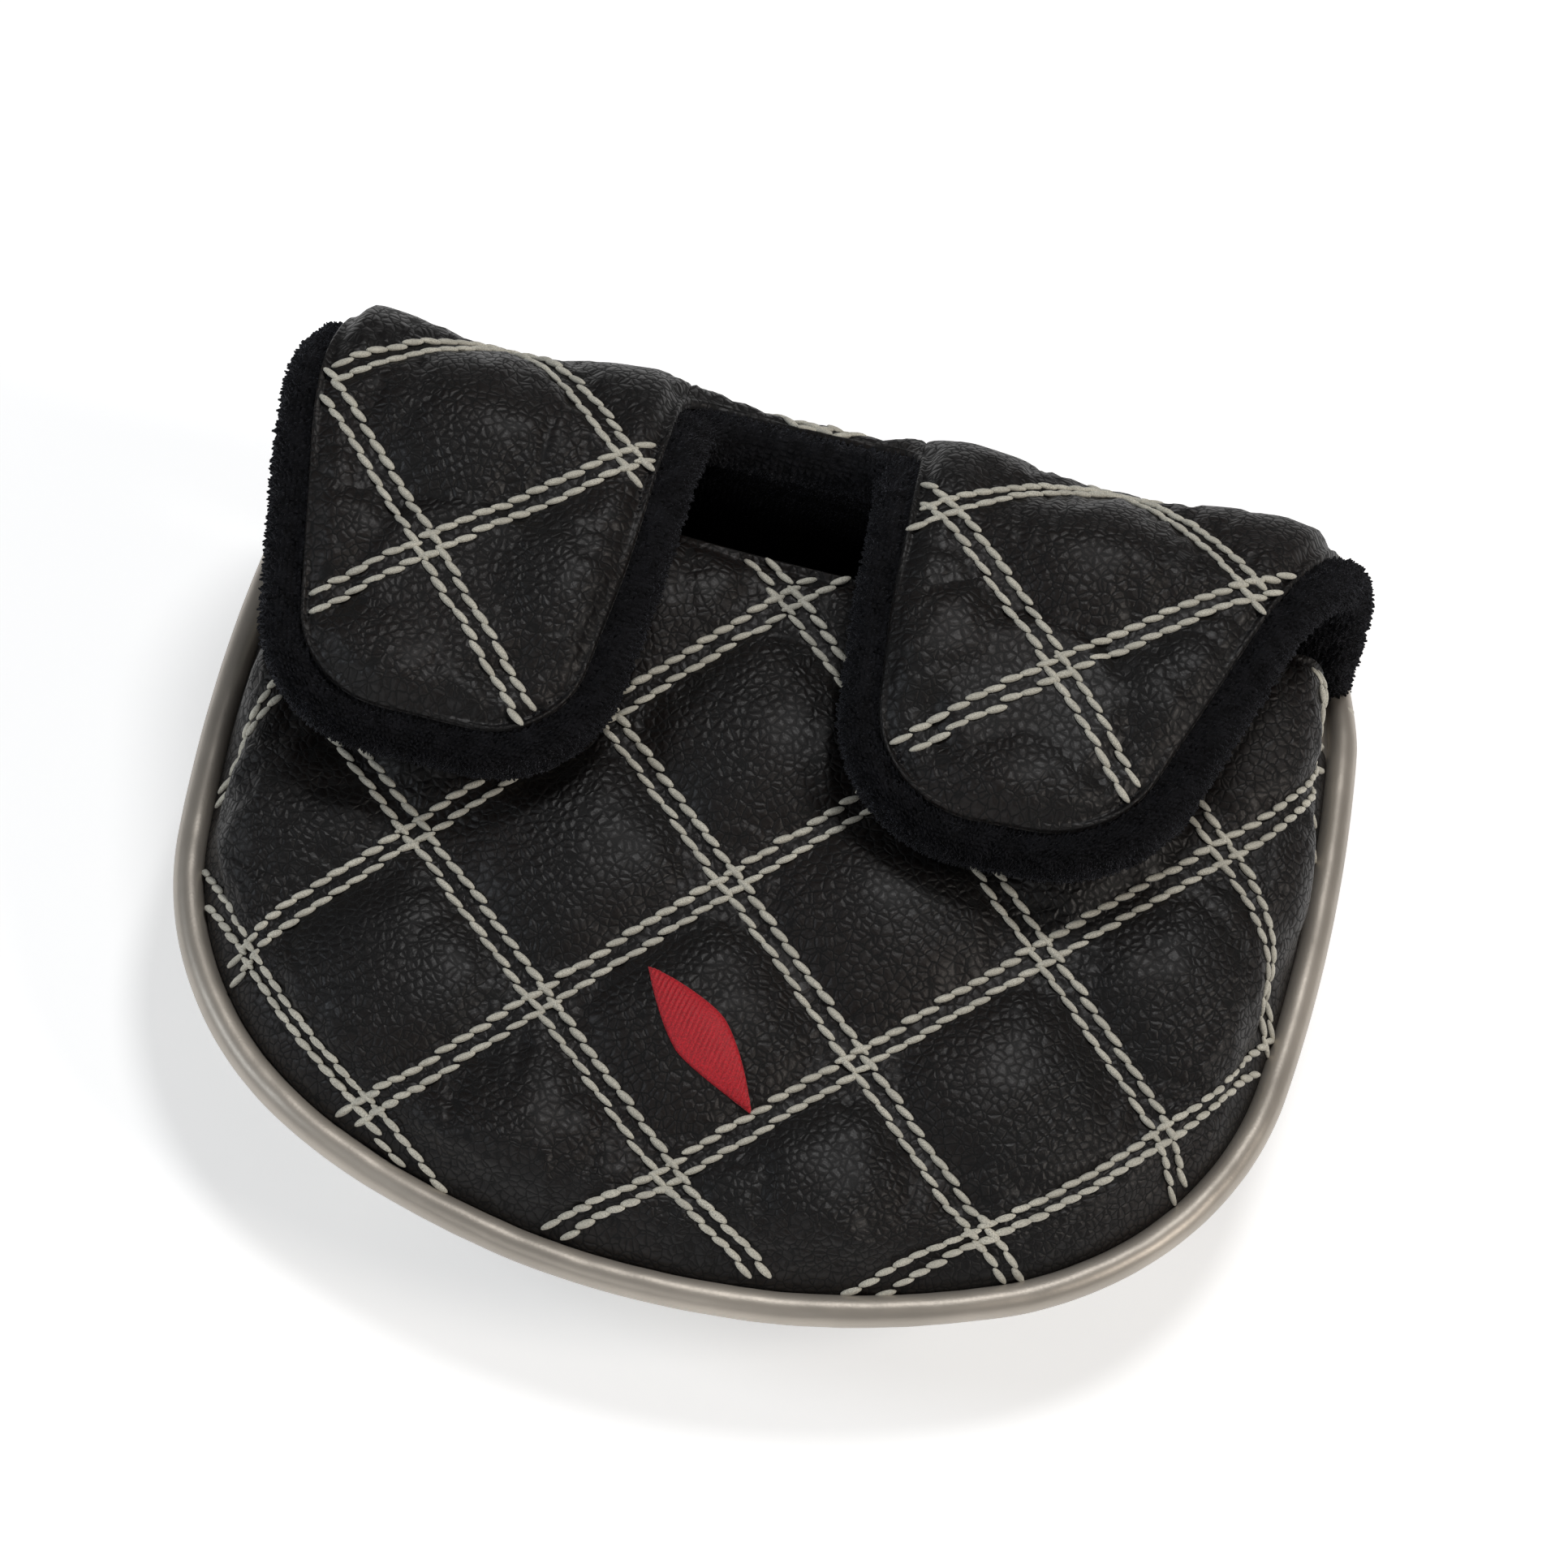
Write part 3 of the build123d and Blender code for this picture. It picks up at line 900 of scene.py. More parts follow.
class Shader:
    """A node material."""

    def __init__(self, name):
        self.material = bpy.data.materials.new(name)
        self.material.use_nodes = True
        self.tree = self.material.node_tree
        self.surface = self.tree.nodes["Principled BSDF"]

    def node(self, kind, settings=None, sockets=None, output=0):
        """Adds a node with its settings, then its socket values or links."""
        made = self.tree.nodes.new(kind)
        for key, value in (settings or {}).items():
            setattr(made, key, value)
        for key, value in (sockets or {}).items():
            self.feed(made.inputs[key], value)
        return Signal(self, made.outputs[output])

    def feed(self, socket, value):
        if isinstance(value, Signal):
            self.tree.links.new(value.socket, socket)
        else:
            socket.default_value = value

    def set(self, **values):
        for key, value in values.items():
            self.feed(self.surface.inputs[key.replace("_", " ")], value)

    def mix(self, factor, first, second):
        """A colour between two colours."""
        made = self.tree.nodes.new("ShaderNodeMix")
        made.data_type = "RGBA"
        for socket, value in ((0, factor), (6, first), (7, second)):
            self.feed(made.inputs[socket], value)
        return Signal(self, made.outputs[2])

    def stretched(self, vector, x, y, z):
        """A vector multiplied along each axis."""
        return self.node("ShaderNodeVectorMath", {"operation": "MULTIPLY"},
                         {0: vector, 1: (x, y, z)})

    def moved(self, vector, by):
        return self.node("ShaderNodeVectorMath", {"operation": "ADD"}, {0: vector, 1: by})

    def noise(self, vector, scale, detail=2.0, rough=0.5, output=0):
        return self.node("ShaderNodeTexNoise", None, {
            "Vector": vector, "Scale": scale, "Detail": detail, "Roughness": rough}, output)

    def bump(self, height, distance, strength=1.0, under=None):
        sockets = {"Height": height, "Distance": distance, "Strength": strength}
        if under:
            sockets["Normal"] = under
        return self.node("ShaderNodeBump", None, sockets)


def tint(colour, factor=1.0):
    """A shader colour from a colour setting."""
    return (*(channel * factor for channel in colour), 1.0)


def pattern_millimetres(shader):
    """The panel's own pattern, in millimetres."""
    place = shader.node("ShaderNodeAttribute", {"attribute_name": "pattern"}, None, 1)
    return shader.stretched(place, 1000, 1000, 1000)


def object_millimetres(shader):
    """Place on the object, in millimetres."""
    place = shader.node("ShaderNodeTexCoord", None, None, 3)
    return shader.stretched(place, 1000, 1000, 1000)


def leather_material():
    """Black pebbled leather: creased cells with painted shade in their cracks, finer pores and
    worn, shinier high spots.
    """
    colours = bpy.context.scene.head_cover.colours
    shader = Shader("leather")
    place = pattern_millimetres(shader)
    drift = shader.noise(place, 0.5, 3.0, 0.6, 1)
    drift = shader.stretched(drift, 0.7, 0.7, 0.7)
    warped = shader.moved(place, drift)
    cells = shader.node("ShaderNodeTexVoronoi", {"feature": "DISTANCE_TO_EDGE"}, {
        "Vector": warped, "Scale": 0.95, "Randomness": 1.0})
    small = shader.node("ShaderNodeTexVoronoi", {"feature": "DISTANCE_TO_EDGE"}, {
        "Vector": warped, "Scale": 2.1, "Randomness": 1.0})
    crack = cells.between(0.01, 0.13)
    pebble = cells.between(-0.1, 0.42)
    fine = small.between(-0.05, 0.4)
    coarse = shader.noise(place, 0.06, 2.0, 0.5).between(0.36, 0.62)
    pores = shader.noise(place, 5.5, 3.0, 0.65)
    folds = shader.noise(shader.stretched(warped, 0.5, 0.28, 0.5), 1.0, 4.0, 0.62)
    relief = pebble * (0.7 + 0.6 * coarse) + crack * 0.25 + fine * 0.1 + folds * 0.35
    shade = shader.noise(place, 0.045, 3.0, 0.55)
    base = shader.mix(shade.between(0.35, 0.65), tint(colours.leather, 0.85),
                      tint((1.4 * colours.leather[0], 1.05 * colours.leather[1],
                            0.85 * colours.leather[2])))
    # painted shade: the cracks between the grain's cells are darkened to 0.3 of the leather
    # colour
    painted_crack_shade = shader.mix(crack, tint(colours.leather, 0.3), base)
    roughness = 0.8 - 0.34 * crack - 0.04 * fine + 0.1 * (pores - 0.5)
    roughness = roughness + 0.12 * (shade - 0.5)
    normal = shader.bump(relief, 0.14 * mm, 0.65)
    shader.set(Base_Color=painted_crack_shade, Roughness=roughness, Normal=normal)
    shader.set(IOR=1.46, Specular_IOR_Level=0.36, Coat_Roughness=0.3, Coat_Weight=0.05)
    return shader.material


def fleece_material():
    """Black plush with a soft edge glow."""
    colours = bpy.context.scene.head_cover.colours
    shader = Shader("fleece")
    place = object_millimetres(shader)
    clump = shader.noise(place, 0.55, 3.0, 0.6)
    strand = shader.noise(shader.stretched(place, 1, 1, 0.6), 4.0, 2.0, 0.6)
    colour = shader.mix(clump.between(0.3, 0.7), tint(colours.fleece, 0.55),
                        tint(colours.fleece, 1.7))
    normal = shader.bump(strand + 0.6 * clump, 0.3 * mm, 0.8)
    shader.set(Base_Color=colour, Roughness=0.95, Normal=normal)
    shader.set(Sheen_Weight=0.2, Sheen_Roughness=0.4, Specular_IOR_Level=0.15)
    shader.set(Sheen_Tint=(0.5, 0.52, 0.6, 1))
    return shader.material


def thread_material():
    """Pale twisted thread."""
    colours = bpy.context.scene.head_cover.colours
    shader = Shader("thread")
    place = object_millimetres(shader)
    dirt = shader.noise(place, 0.35, 3.0, 0.6)
    strand = shader.noise(place, 7.0, 2.0, 0.6)
    colour = shader.mix(dirt.between(0.3, 0.75), tint(colours.thread, 0.72),
                        tint(colours.thread))
    colour = shader.mix(strand.between(0.3, 0.6), tint(colours.thread, 0.5), colour)
    shader.set(Base_Color=colour, Roughness=0.62 + 0.15 * strand,
               Normal=shader.bump(strand, 0.12 * mm, 0.7))
    shader.set(Sheen_Weight=0.2, Sheen_Roughness=0.4)
    return shader.material


def piping_material():
    """Satin champagne-silver vinyl with a faint grain."""
    colours = bpy.context.scene.head_cover.colours
    shader = Shader("piping")
    place = object_millimetres(shader)
    grain = shader.noise(place, 3.2, 3.0, 0.6)
    cloud = shader.noise(place, 0.07, 3.0, 0.55)
    colour = shader.mix(cloud.between(0.3, 0.7), tint(colours.piping, 0.86),
                        tint(colours.piping, 1.08))
    shader.set(Base_Color=colour, Roughness=0.34 + 0.12 * grain + 0.06 * cloud,
               Metallic=0.45 + 0.1 * cloud, Normal=shader.bump(grain, 0.05 * mm, 0.35))
    return shader.material


def emblem_material():
    """Red satin-stitch embroidery."""
    colours = bpy.context.scene.head_cover.colours
    shader = Shader("emblem")
    place = object_millimetres(shader)
    strand = shader.noise(place, 5.0, 2.0, 0.6)
    colour = shader.mix(strand.between(0.3, 0.7), tint(colours.emblem, 0.6),
                        tint(colours.emblem, 1.15))
    shader.set(Base_Color=colour, Roughness=0.5 + 0.15 * strand,
               Normal=shader.bump(strand, 0.08 * mm, 0.6))
    shader.set(Sheen_Weight=0.25, Sheen_Roughness=0.35)
    return shader.material


def magnet_material():
    """Nickel-plated steel with a drawn finish."""
    shader = Shader("nickel")
    place = object_millimetres(shader)
    drawn = shader.noise(shader.stretched(place, 0.2, 6.0, 0.2), 1.0, 3.0, 0.6)
    shader.set(Base_Color=shader.mix(drawn, (0.5, 0.5, 0.5, 1), (0.68, 0.68, 0.66, 1)),
               Roughness=0.25 + 0.2 * drawn, Normal=shader.bump(drawn, 0.02 * mm, 0.4))
    shader.set(Metallic=1.0)
    return shader.material


def cord_material():
    """Twisted cotton filler."""
    shader = Shader("cotton")
    place = object_millimetres(shader)
    twist = shader.noise(place, 2.5, 3.0, 0.6)
    shader.set(Base_Color=shader.mix(twist, (0.5, 0.47, 0.4, 1), (0.75, 0.72, 0.65, 1)),
               Roughness=0.85 + 0.1 * twist, Normal=shader.bump(twist, 0.2 * mm, 0.7))
    return shader.material


made_materials = {}


def material(name):
    """A material by its name, made the first time it is asked for."""
    makers = {"leather": leather_material, "fleece": fleece_material,
              "thread": thread_material, "piping": piping_material,
              "emblem": emblem_material, "nickel": magnet_material,
              "cotton": cord_material}
    if name not in made_materials:
        made_materials[name] = makers[name]()
    return made_materials[name]


# ---------------------------------------------------------------- the wrap's outlines


def wrap_shapes(form, layers, margin):
    """Outlines of the wrap's panels on its flat pattern, moved out by a margin."""
    wrap = Wrap(form)
    notch_left, notch_right = -20 * mm + margin, 7.5 * mm - margin
    notch_run = wrap.fold * math.radians(38) + margin
    notch_round = 5 * mm
    notch_end = notch_run + notch_round
    sides = {
        "left": rounded_path([
            (notch_left, 0, 0), (notch_left, notch_end, 0),
            (-21 * mm + margin, wrap.run_at(20 * mm), 90 * mm),
            (-23.5 * mm + margin, wrap.run_at(-2.5 * mm) + margin, 11 * mm + margin),
            (-53 * mm - margin, wrap.run_at(-2.5 * mm) + margin, 12 * mm + margin),
            (-60.5 * mm - margin, wrap.run_at(34 * mm), 60 * mm),
            (-59 * mm - margin / 2, 0, 0)]),
        "right": rounded_path([
            (notch_right, 0, 0), (notch_right, notch_end, 0),
            (8.2 * mm - margin, wrap.run_at(24 * mm), 90 * mm),
            (11 * mm - margin, wrap.run_at(0 * mm) + margin, 13 * mm + margin),
            (38.5 * mm + margin, wrap.run_at(1.5 * mm) + margin, 14 * mm + margin),
            (55.5 * mm + margin, wrap.run_at(50 * mm), 60 * mm),
            (57 * mm + margin, 0, 0)])}
    notch = rounded_path([
        (notch_left, notch_run + 3 * notch_round, 0), (notch_left, notch_run, notch_round),
        (notch_right, notch_run, notch_round), (notch_right, notch_run + 3 * notch_round, 0)])
    first, last = (nearest(notch, (x, notch_run + notch_round))
                   for x in (notch_left, notch_right))
    notch = notch[first:last + 1]
    runs = np.linspace(wrap.heel_run, 0, 800)
    heights = wrap.place(np.stack([0 * runs, runs], -1))[0][:, 2]
    short = np.maximum(form.sole_radius - heights, 0)
    corner = form.sole_radius - np.sqrt(form.sole_radius**2 - short**2)
    wall_sides = [np.stack([side[-1, 0] + np.sign(side[-1, 0]) * -corner, runs], -1)
                  for side in sides.values()]
    free = [side[np.where((side[:, 1] > notch_run + notch_round)
                          | (np.abs(side[:, 0]) > 30 * mm))[0]] for side in sides.values()]
    heel_line = np.linspace(wall_sides[0][0], wall_sides[1][0], 2400)
    return {"wrap": wrap, "flaps": sides, "notch": notch, "wall": wall_sides,
            "edges": [*free, notch, *wall_sides, heel_line]}


def flap_pattern(shapes, side, cell, rim):
    """Pattern grid of a flap, from the top of the wall to its tip."""
    path = shapes["flaps"][side]
    tip_run = path[:, 1].max()
    tip = path[path[:, 1] > tip_run - 0.5 * mm]
    inner_corner = nearest(path, (tip[0][0] + np.sign(tip[0][0] - tip[-1][0]) * 5 * mm, tip_run))
    outer_corner = nearest(path, (tip[-1][0] - np.sign(tip[0][0] - tip[-1][0]) * 5 * mm, tip_run))
    inner, outer = along(path[:inner_corner + 1]), along(path[outer_corner:][::-1])
    end = along(path[inner_corner:outer_corner + 1])
    start = along(np.stack([path[0], path[-1]]))
    width = abs(path[0, 0] - path[-1, 0])
    columns, rows = int(width / cell) + 8, int(tip_run / cell) + 4
    return patch(start, end, inner, outer, spaced(columns, rim / width, rim / width),
                 spaced(rows, 0, rim / tip_run))


def notch_pattern(shapes, cell, rim):
    """Pattern grid of the strip between the flaps."""
    notch = shapes["notch"]
    left, right = notch[0], notch[-1]
    bottom = along(np.array([[left[0], 0], [right[0], 0]]))
    sides = [along(np.array([[end[0], 0], [end[0], end[1]]])) for end in (left, right)]
    columns, rows = int((right[0] - left[0]) / cell), int(left[1] / cell) + 5
    return patch(bottom, along(notch), *sides, np.linspace(0, 1, columns + 1),
                 spaced(rows, 0, rim / notch[:, 1].min()))


def wall_pattern(shapes, cell, rim):
    """Pattern grid of the front wall, from the heel fold's start to the wall's top."""
    left, right = shapes["wall"]
    bottom, top = (along(np.stack([left[k], right[k]])) for k in (0, -1))
    width, height = right[-1, 0] - left[-1, 0], -left[0, 1]
    columns, rows = int(width / cell) + 8, int(height / cell) + 4
    return patch(bottom, top, along(left), along(right),
                 spaced(columns, rim / width, rim / width), spaced(rows, rim / height, 0))


def lattice_shift(wrap):
    """The flaps' quilting drifts apart over the fold: one a little ahead, one behind."""

    def shift(places):
        over = smooth(-places[..., 1] / wrap.plate)
        side = np.tanh(places[..., 0] / (20 * mm) + 0.3)
        return np.stack([0 * over, -4.4 * mm * side * over], -1)

    return shift


def wrap_quilt():
    settings = bpy.context.scene.head_cover
    wrap = Wrap(settings.form)
    origin = (28.1 * mm, -wrap.run_at(19.7 * mm) - 4.4 * mm)
    return Quilt(settings.quilt, origin, math.radians(-4), lattice_shift(wrap))


def crown_quilt():
    settings = bpy.context.scene.head_cover
    return Quilt(settings.quilt, (-0.2 * mm, low.y + 11 * mm), math.radians(2.4))


def fold_blend(piece):
    """Bakes the piece's placement into its mesh."""
    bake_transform(piece)


panels = {}


# ---------------------------------------------------------------- operators


class HEADCOVER_OT_crown(bpy.types.Operator):
    """Quilted crown and its fleece lining"""

    bl_idname = "head_cover.crown"
    bl_label = "Crown"

    def execute(self, context):
        settings = context.scene.head_cover
        layers = settings.layers
        crown = Crown(settings.form)
        pattern = crown.sheet(layers.leather_cell)
        edge = edge_distance(pattern, [pattern[-1]])
        quilt = crown_quilt()
        pad, panel = quilted_pad("crown_quilt", crown, pattern, edge, quilt, settings.seed,
                                 material("leather"), layers.pad)
        thread = sew("crown_stitching", panel, quilt, material("thread"), settings.seed)
        panels["crown"] = (panel, quilt)
        pattern = crown.sheet(1.15 * mm)
        edge = edge_distance(pattern, [pattern[-1]])
        inside = layers.pad + layers.pouch_fleece
        everywhere = np.ones(edge.shape, bool)
        lining = fleece_pad("crown_lining", crown, pattern, edge, layers.pad, inside,
                            material("fleece"), settings.seed, everywhere)
        for piece in (pad, thread, lining):
            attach(piece, "pouch")
        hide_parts("crown_leather", "crown_foam")
        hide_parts("crown_fleece")
        return {"FINISHED"}


class HEADCOVER_OT_sole(bpy.types.Operator):
    """Quilted sole tray and its fleece lining"""

    bl_idname = "head_cover.sole"
    bl_label = "Sole"

    def execute(self, context):
        settings = context.scene.head_cover
        layers = settings.layers
        sole = Sole(settings.form)
        pattern = sole.sheet(0.7 * mm)
        edge = edge_distance(pattern, [pattern[-1]])
        quilt = Quilt(settings.quilt, (0.0, low.y + 12 * mm), math.radians(-1.5))
        pad, panel = quilted_pad("sole_quilt", sole, pattern, edge, quilt, settings.seed + 20,
                                 material("leather"), layers.pad)
        thread = sew("sole_stitching", panel, quilt, material("thread"), settings.seed + 20)
        pattern = sole.sheet(1.15 * mm)
        edge = edge_distance(pattern, [pattern[-1]])
        inside = layers.pad + layers.pouch_fleece
        everywhere = np.ones(edge.shape, bool)
        lining = fleece_pad("sole_lining", sole, pattern, edge, layers.pad, inside,
                            material("fleece"), settings.seed + 21, everywhere)
        for piece in (pad, thread, lining):
            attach(piece, "pouch")
        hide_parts("sole_leather", "sole_foam")
        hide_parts("sole_fleece")
        return {"FINISHED"}


class HEADCOVER_OT_front_wall(bpy.types.Operator):
    """Quilted front wall, the strip over it between the flaps, and their lining"""

    bl_idname = "head_cover.front_wall"
    bl_label = "Front wall"

    def execute(self, context):
        settings = context.scene.head_cover
        layers, form = settings.layers, settings.form
        leather = wrap_shapes(form, layers, 0)
        fleece = wrap_shapes(form, layers, layers.fleece_margin)
        wrap, quilt = leather["wrap"], wrap_quilt()
        inside = layers.pad + layers.wrap_fleece
        made = []
        for name, grid in (("front_wall", wall_pattern), ("notch", notch_pattern)):
            pattern = grid(leather, layers.leather_cell, layers.pad)
            edge = edge_distance(pattern, leather["edges"])
            pad, panel = quilted_pad(f"{name}_quilt", wrap, pattern, edge, quilt,
                                     settings.seed + 40, material("leather"), layers.pad)
            thread = sew(f"{name}_stitching", panel, quilt, material("thread"),
                         settings.seed + 41)
            pattern = grid(fleece, layers.fleece_cell, layers.wrap_fleece / 2)
            edge = edge_distance(pattern, fleece["edges"])
            bare = edge > layers.fleece_margin + 2.5 * mm
            lining = fleece_pad(f"{name}_lining", wrap, pattern, edge, layers.pad, inside,
                                material("fleece"), settings.seed + 42, bare)
            made.append((pad, thread, lining))
        wall, strip = made
        for piece in wall:
            fold_blend(piece)
        for piece in strip:
            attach(piece, "front_wall")
        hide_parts("front_leather", "front_foam")
        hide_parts("front_fleece")
        return {"FINISHED"}


class HEADCOVER_OT_flaps(bpy.types.Operator):
    """The two quilted flaps and their fleece"""

    bl_idname = "head_cover.flaps"
    bl_label = "Flaps"

    def execute(self, context):
        settings = context.scene.head_cover
        layers, form = settings.layers, settings.form
        leather = wrap_shapes(form, layers, 0)
        fleece = wrap_shapes(form, layers, layers.fleece_margin)
        wrap, quilt = leather["wrap"], wrap_quilt()
        inside = layers.pad + layers.wrap_fleece
        for side, seed in (("left", settings.seed + 60), ("right", settings.seed + 70)):
            pattern = flap_pattern(leather, side, layers.leather_cell, layers.pad)
            edge = edge_distance(pattern, leather["edges"])
            pad, panel = quilted_pad(f"{side}_flap_quilt", wrap, pattern, edge, quilt,
                                     settings.seed + 40, material("leather"), layers.pad)
            thread = sew(f"{side}_flap_stitching", panel, quilt, material("thread"), seed)
            pattern = flap_pattern(fleece, side, layers.fleece_cell, layers.wrap_fleece / 2)
            edge = edge_distance(pattern, fleece["edges"])
            bare = edge > layers.fleece_margin + 2.5 * mm
            lining = fleece_pad(f"{side}_flap_plush", wrap, pattern, edge, layers.pad,
                                inside, material("fleece"), seed, bare)
            for piece in (pad, thread, lining):
                fold_blend(piece)
            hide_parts(f"{side}_flap_leather", f"{side}_flap_foam")
            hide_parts(f"{side}_flap_fleece")
        return {"FINISHED"}


class HEADCOVER_OT_piping(bpy.types.Operator):
    """Piping round the seam, with the flange that is sewn into it"""

    bl_idname = "head_cover.piping"
    bl_label = "Piping"

    def execute(self, context):
        settings = context.scene.head_cover
        plan = Outline(settings.form)
        radius = piping_diameter / 2
        reach = np.linspace(60 * mm, 150 * mm, 2000)
        side = plan.point(reach, radius)
        end = np.interp(seam_high.y, side[:, 1], reach)
        line = bpy.data.curves.new("piping_line", "CURVE")
        line.dimensions = "3D"
        line.bevel_depth = radius
        line.bevel_resolution = 6
        line.use_fill_caps = True
        spline = line.splines.new("POLY")
        tail = 6 * mm  # past the seam's end, where the piping is tucked in
        cap = np.sin(np.linspace(0, math.pi / 2, 9))
        runs = np.linspace(-end - tail + radius, end + tail - radius, 520)
        runs = np.concatenate([runs[0] - radius * cap[::-1], runs[1:-1],
                               runs[-1] + radius * cap])
        past = smooth((np.abs(runs) - end + tail) / (2 * tail))
        left = np.maximum(end + tail - np.abs(runs), 0) / radius
        girth = np.sqrt(np.clip(1 - (1 - np.minimum(left, 1)) ** 2, 0.0004, 1))
        route = [plan.point(runs[index:index + 1], radius + share * 1.6 * mm)[0]
                 for index, share in enumerate(past)]
        spline.points.add(len(runs) - 1)
        for point, (x, y), share, size in zip(spline.points, route, past, girth):
            point.co = (x, y, seam_z - share * 1.2 * mm, 1)
            point.radius = size
        carrier = bpy.data.objects.new("piping_line", line)
        context.scene.collection.objects.link(carrier)
        tube = bpy.data.meshes.new_from_object(carrier)
        bpy.data.objects.remove(carrier)
        shaped = bmesh.new()
        shaped.from_mesh(tube)
        bmesh.ops.remove_doubles(shaped, verts=shaped.verts[:], dist=0.01 * mm)
        for vertex in shaped.verts:
            sway = noise(vertex.co.x / (7 * mm), vertex.co.y / (7 * mm), settings.seed)
            fine = noise(vertex.co.x / (2.4 * mm), vertex.co.y / (2.4 * mm), settings.seed)
            vertex.co.z += (0.16 * sway + 0.05 * fine) * mm
        bmesh.ops.recalc_face_normals(shaped, faces=shaped.faces[:])
        piece = finish_mesh("piping", shaped, material("piping"))
        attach(piece, "pouch")
        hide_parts("piping_sleeve")
        self.flange(plan, end, settings)
        return {"FINISHED"}

    def flange(self, plan, end, settings):
        """The strip of sleeve between the crown and the sole."""
        count = 360
        runs = np.linspace(-end * 0.995, end * 0.995, count + 1)
        rims = [plan.point(runs, inset) for inset in (3.2 * mm, 9 * mm)]
        pattern = np.stack(rims)
        heights = [np.full(count + 1, seam_z + side * 0.4 * mm) for side in (1, -1)]
        outer, inner = (np.stack([side_by_side(rim, height) for rim in rims])
                        for height in heights)
        shaped = slab(1, count)
        mould(shaped, outer, inner, pattern)
        piece = finish_mesh("piping_flange", shaped, material("piping"))
        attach(piece, "pouch")


class HEADCOVER_OT_emblem(bpy.types.Operator):
    """Satin-stitched lozenge on the crown"""

    bl_idname = "head_cover.emblem"
    bl_label = "Emblem"

    def execute(self, context):
        settings = context.scene.head_cover
        panel, quilt = panels["crown"]
        centre = Vector((-0.6 * mm, low.y + 26.6 * mm))
        turn, half_length, half_width = math.radians(-41.5), 10 * mm, 3.2 * mm
        rows, columns = 28, 150
        u, v = np.meshgrid(np.linspace(-1, 1, columns + 1), np.linspace(-1, 1, rows + 1))
        belly = np.maximum(1 - np.abs(u) ** 1.5, 0.0)
        lengthwise, widthwise = u * half_length, v * half_width * belly
        x = centre.x + lengthwise * math.cos(turn) - widthwise * math.sin(turn)
        y = centre.y + lengthwise * math.sin(turn) + widthwise * math.cos(turn)
        places = np.stack([x, y], -1)
        lattice = quilt.coordinates(places)
        outer, inner = np.zeros(places.shape[:2] + (3,)), np.zeros(places.shape[:2] + (3,))
        ridges = np.abs(np.sin(math.pi * (lengthwise + 0.6 * widthwise) / (0.66 * mm)))
        height = 0.75 * mm * np.sqrt(np.maximum(1 - v**2, 0)) * np.minimum(1, 6 * belly)
        height = height * (0.55 + 0.45 * ridges)
        for row in range(rows + 1):
            for column in range(columns + 1):
                point, normal = panel.at(*lattice[row, column])
                outer[row, column] = point + normal * (height[row, column] + 0.05 * mm)
                inner[row, column] = point - normal * 0.15 * mm
        shaped = slab(rows, columns)
        mould(shaped, outer, inner, lattice)
        piece = finish_mesh("emblem_embroidery", shaped, material("emblem"))
        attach(piece, "pouch")
        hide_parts("emblem")
        return {"FINISHED"}


class HEADCOVER_OT_inner_pieces(bpy.types.Operator):
    """Finishes of the magnets and the piping's filler cord"""

    bl_idname = "head_cover.inner_pieces"
    bl_label = "Magnets and cord"

    def execute(self, context):
        finishes = {"piping_cord": "cotton"}
        for side in ("left", "right"):
            for place in ("flap", "crown"):
                finishes[f"{side}_{place}_magnet"] = "nickel"
        for node, finish in finishes.items():
            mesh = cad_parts[node].data
            mesh.materials.clear()
            mesh.materials.append(material(finish))
        return {"FINISHED"}


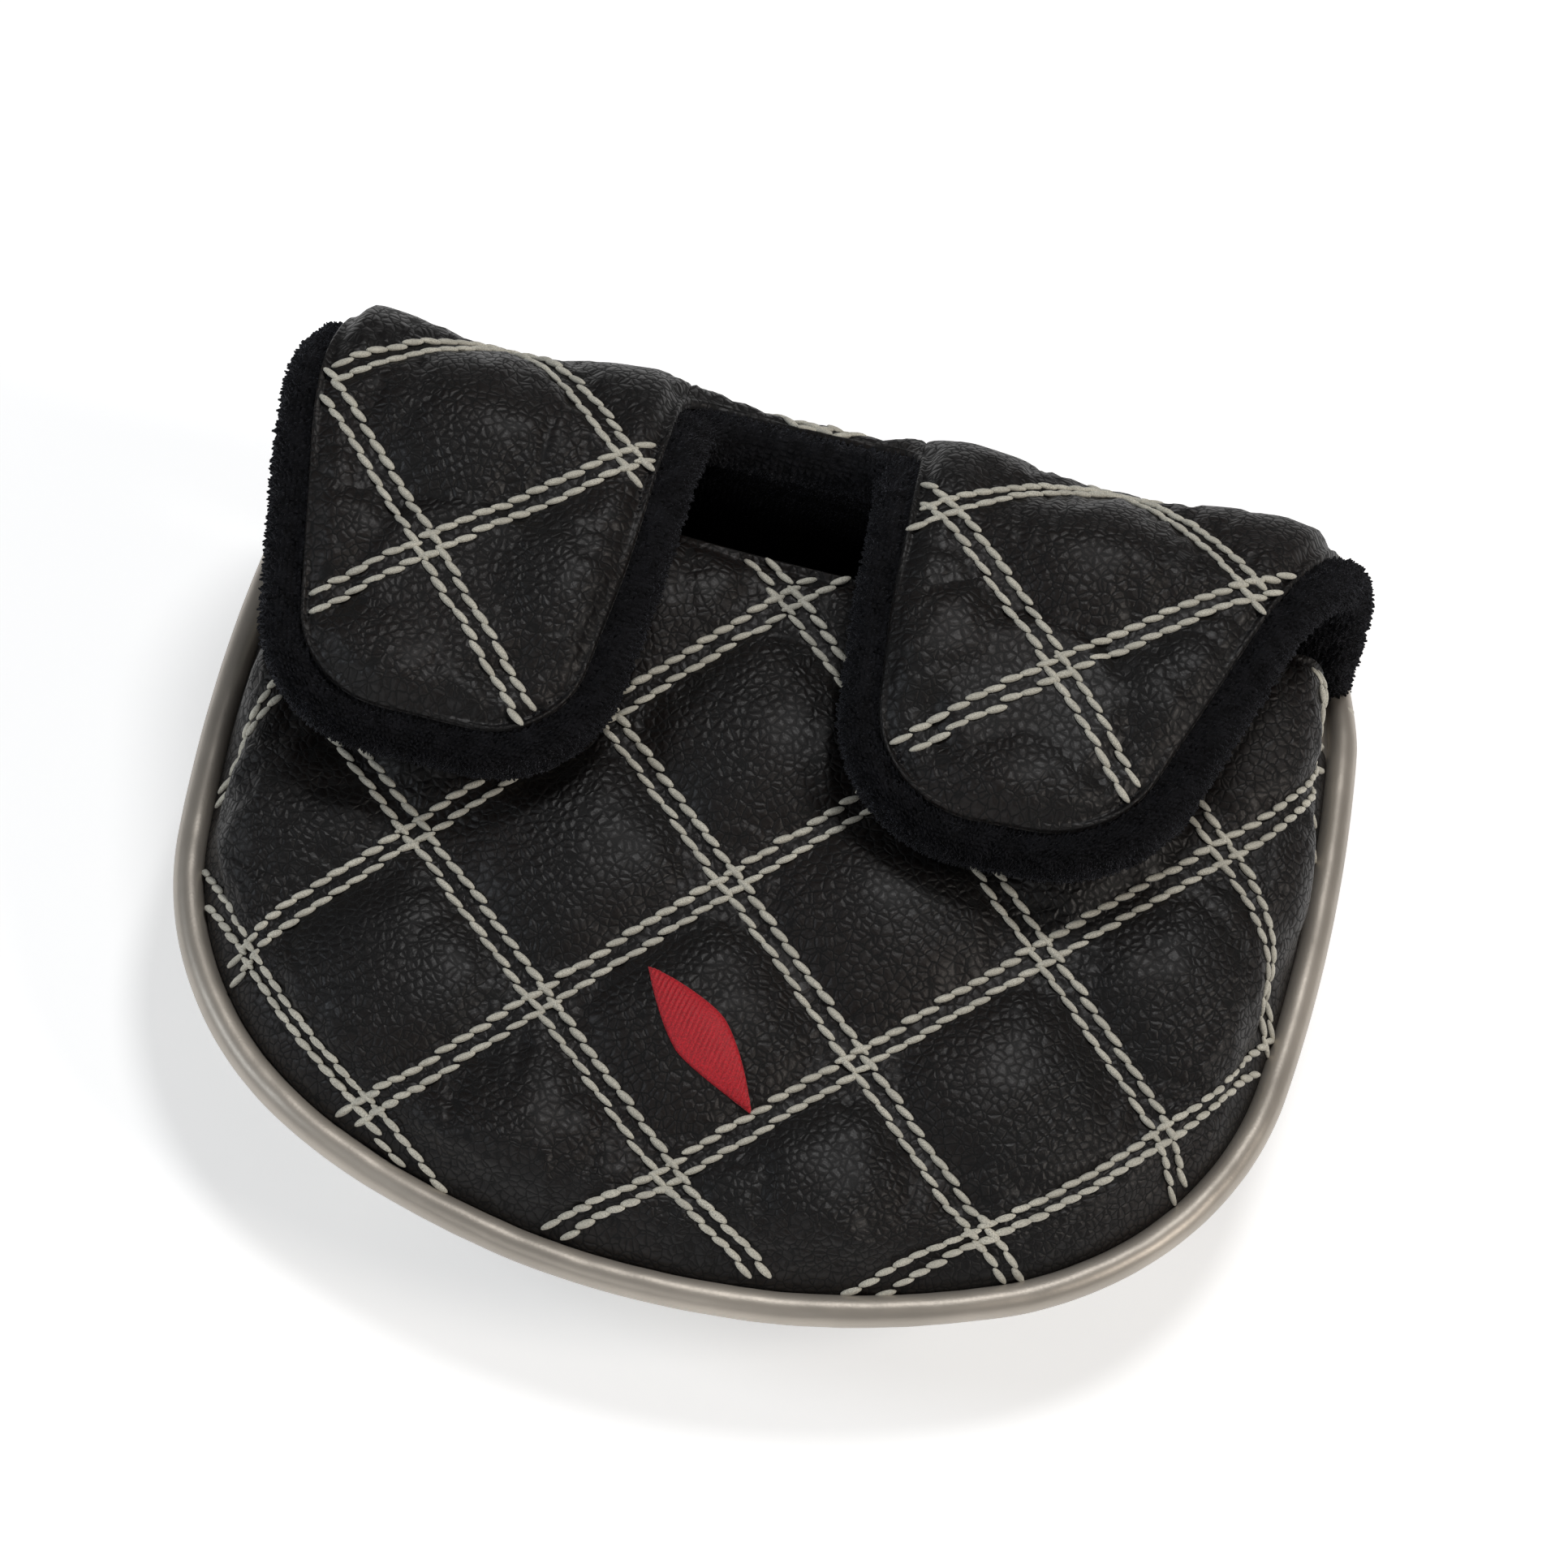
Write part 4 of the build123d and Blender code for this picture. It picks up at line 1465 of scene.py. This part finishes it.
class HEADCOVER_OT_stage(bpy.types.Operator):
    """Pale floor, soft studio lights and camera"""

    bl_idname = "head_cover.stage"
    bl_label = "Stage"

    def execute(self, context):
        context.scene.view_settings.view_transform = "Standard"
        self.floor(context)
        self.lights(context)
        self.camera(context)
        return {"FINISHED"}

    def floor(self, context):
        shaped = bmesh.new()
        bmesh.ops.create_grid(shaped, x_segments=1, y_segments=1, size=3)
        bmesh.ops.translate(shaped, verts=shaped.verts[:], vec=(0, 0, -0.1 * mm))
        mesh = bpy.data.meshes.new("floor")
        shaped.to_mesh(mesh)
        shaped.free()
        floor = bpy.data.objects.new("floor", mesh)
        context.scene.collection.objects.link(floor)
        shader = Shader("floor")
        shader.set(Base_Color=(0.93, 0.93, 0.93, 1), Roughness=0.9)
        shader.set(Emission_Color=(1, 1, 1, 1), Emission_Strength=0.5)
        mesh.materials.append(shader.material)

    def lights(self, context):
        world = bpy.data.worlds.new("studio")
        context.scene.world = world
        world.use_nodes = True
        background = world.node_tree.nodes["Background"]
        background.inputs["Color"].default_value = (1, 1, 1, 1)
        background.inputs["Strength"].default_value = 0.1
        cool, warm, white = (0.86, 0.93, 1.0), (1.0, 0.93, 0.86), (1.0, 1.0, 1.0)
        soft_boxes = (
            ("left", (-0.85, -0.2, 0.6), 0.34, 1.9, cool),
            ("right", (0.8, -0.15, 0.62), 0.34, 3.0, warm),
            ("top", (0.1, 0.3, 0.95), 0.26, 2.9, white),
            ("front", (-0.25, -0.95, 0.6), 0.6, 1.4, white))
        for name, place, size, power, colour in soft_boxes:
            lamp = bpy.data.lights.new(name, "AREA")
            lamp.color = colour
            lamp.shape, lamp.size, lamp.energy = "DISK", size, power
            holder = bpy.data.objects.new(name, lamp)
            holder.location = place
            aim = Vector((0, 0, 0.02)) - holder.location
            holder.rotation_euler = aim.to_track_quat("-Z", "Y").to_euler()
            context.scene.collection.objects.link(holder)

    def camera(self, context):
        height, around, roll = (math.radians(angle) for angle in (57, 4.16, 9.91))
        target = Vector((0.6 * mm, low.y + 69.1 * mm, seam_z))
        back = Vector((math.sin(around) * math.cos(height),
                       -math.cos(around) * math.cos(height), math.sin(height)))
        right = (-back).cross(Vector((0, 0, 1))).normalized()
        up = right.cross(-back)
        across = right * math.cos(roll) + up * math.sin(roll)
        upright = up * math.cos(roll) - right * math.sin(roll)
        lens = bpy.data.cameras.new("camera")
        lens.sensor_width, lens.lens = 36, 161.3
        holder = bpy.data.objects.new("camera", lens)
        turned = Matrix((across, upright, back)).transposed().to_4x4()
        holder.matrix_world = Matrix.Translation(target + back * 0.8) @ turned
        context.scene.collection.objects.link(holder)
        context.scene.camera = holder


class HEADCOVER_PT_panel(bpy.types.Panel):
    """Buttons for each group of pieces"""

    bl_label = "Head cover"
    bl_idname = "HEADCOVER_PT_panel"
    bl_space_type = "VIEW_3D"
    bl_region_type = "UI"
    bl_category = "Head cover"

    def draw(self, context):
        for operator in OPERATORS:
            self.layout.operator(operator.bl_idname)


OPERATORS = (
    HEADCOVER_OT_stage, HEADCOVER_OT_crown, HEADCOVER_OT_sole, HEADCOVER_OT_front_wall,
    HEADCOVER_OT_flaps, HEADCOVER_OT_piping, HEADCOVER_OT_emblem, HEADCOVER_OT_inner_pieces)
SETTINGS = (FormSettings, LayerSettings, QuiltSettings, ColourSettings, HeadCoverSettings)


def register():
    for cls in (*SETTINGS, *OPERATORS, HEADCOVER_PT_panel):
        bpy.utils.register_class(cls)
    bpy.types.Scene.head_cover = PointerProperty(type=HeadCoverSettings)


def unregister():
    del bpy.types.Scene.head_cover
    for cls in reversed((*SETTINGS, *OPERATORS, HEADCOVER_PT_panel)):
        bpy.utils.unregister_class(cls)


def main():
    register()
    bpy.ops.head_cover.stage()
    bpy.ops.head_cover.crown()
    bpy.ops.head_cover.sole()
    bpy.ops.head_cover.front_wall()
    bpy.ops.head_cover.flaps()
    bpy.ops.head_cover.piping()
    bpy.ops.head_cover.emblem()
    bpy.ops.head_cover.inner_pieces()


if __name__ == "__main__":
    main()
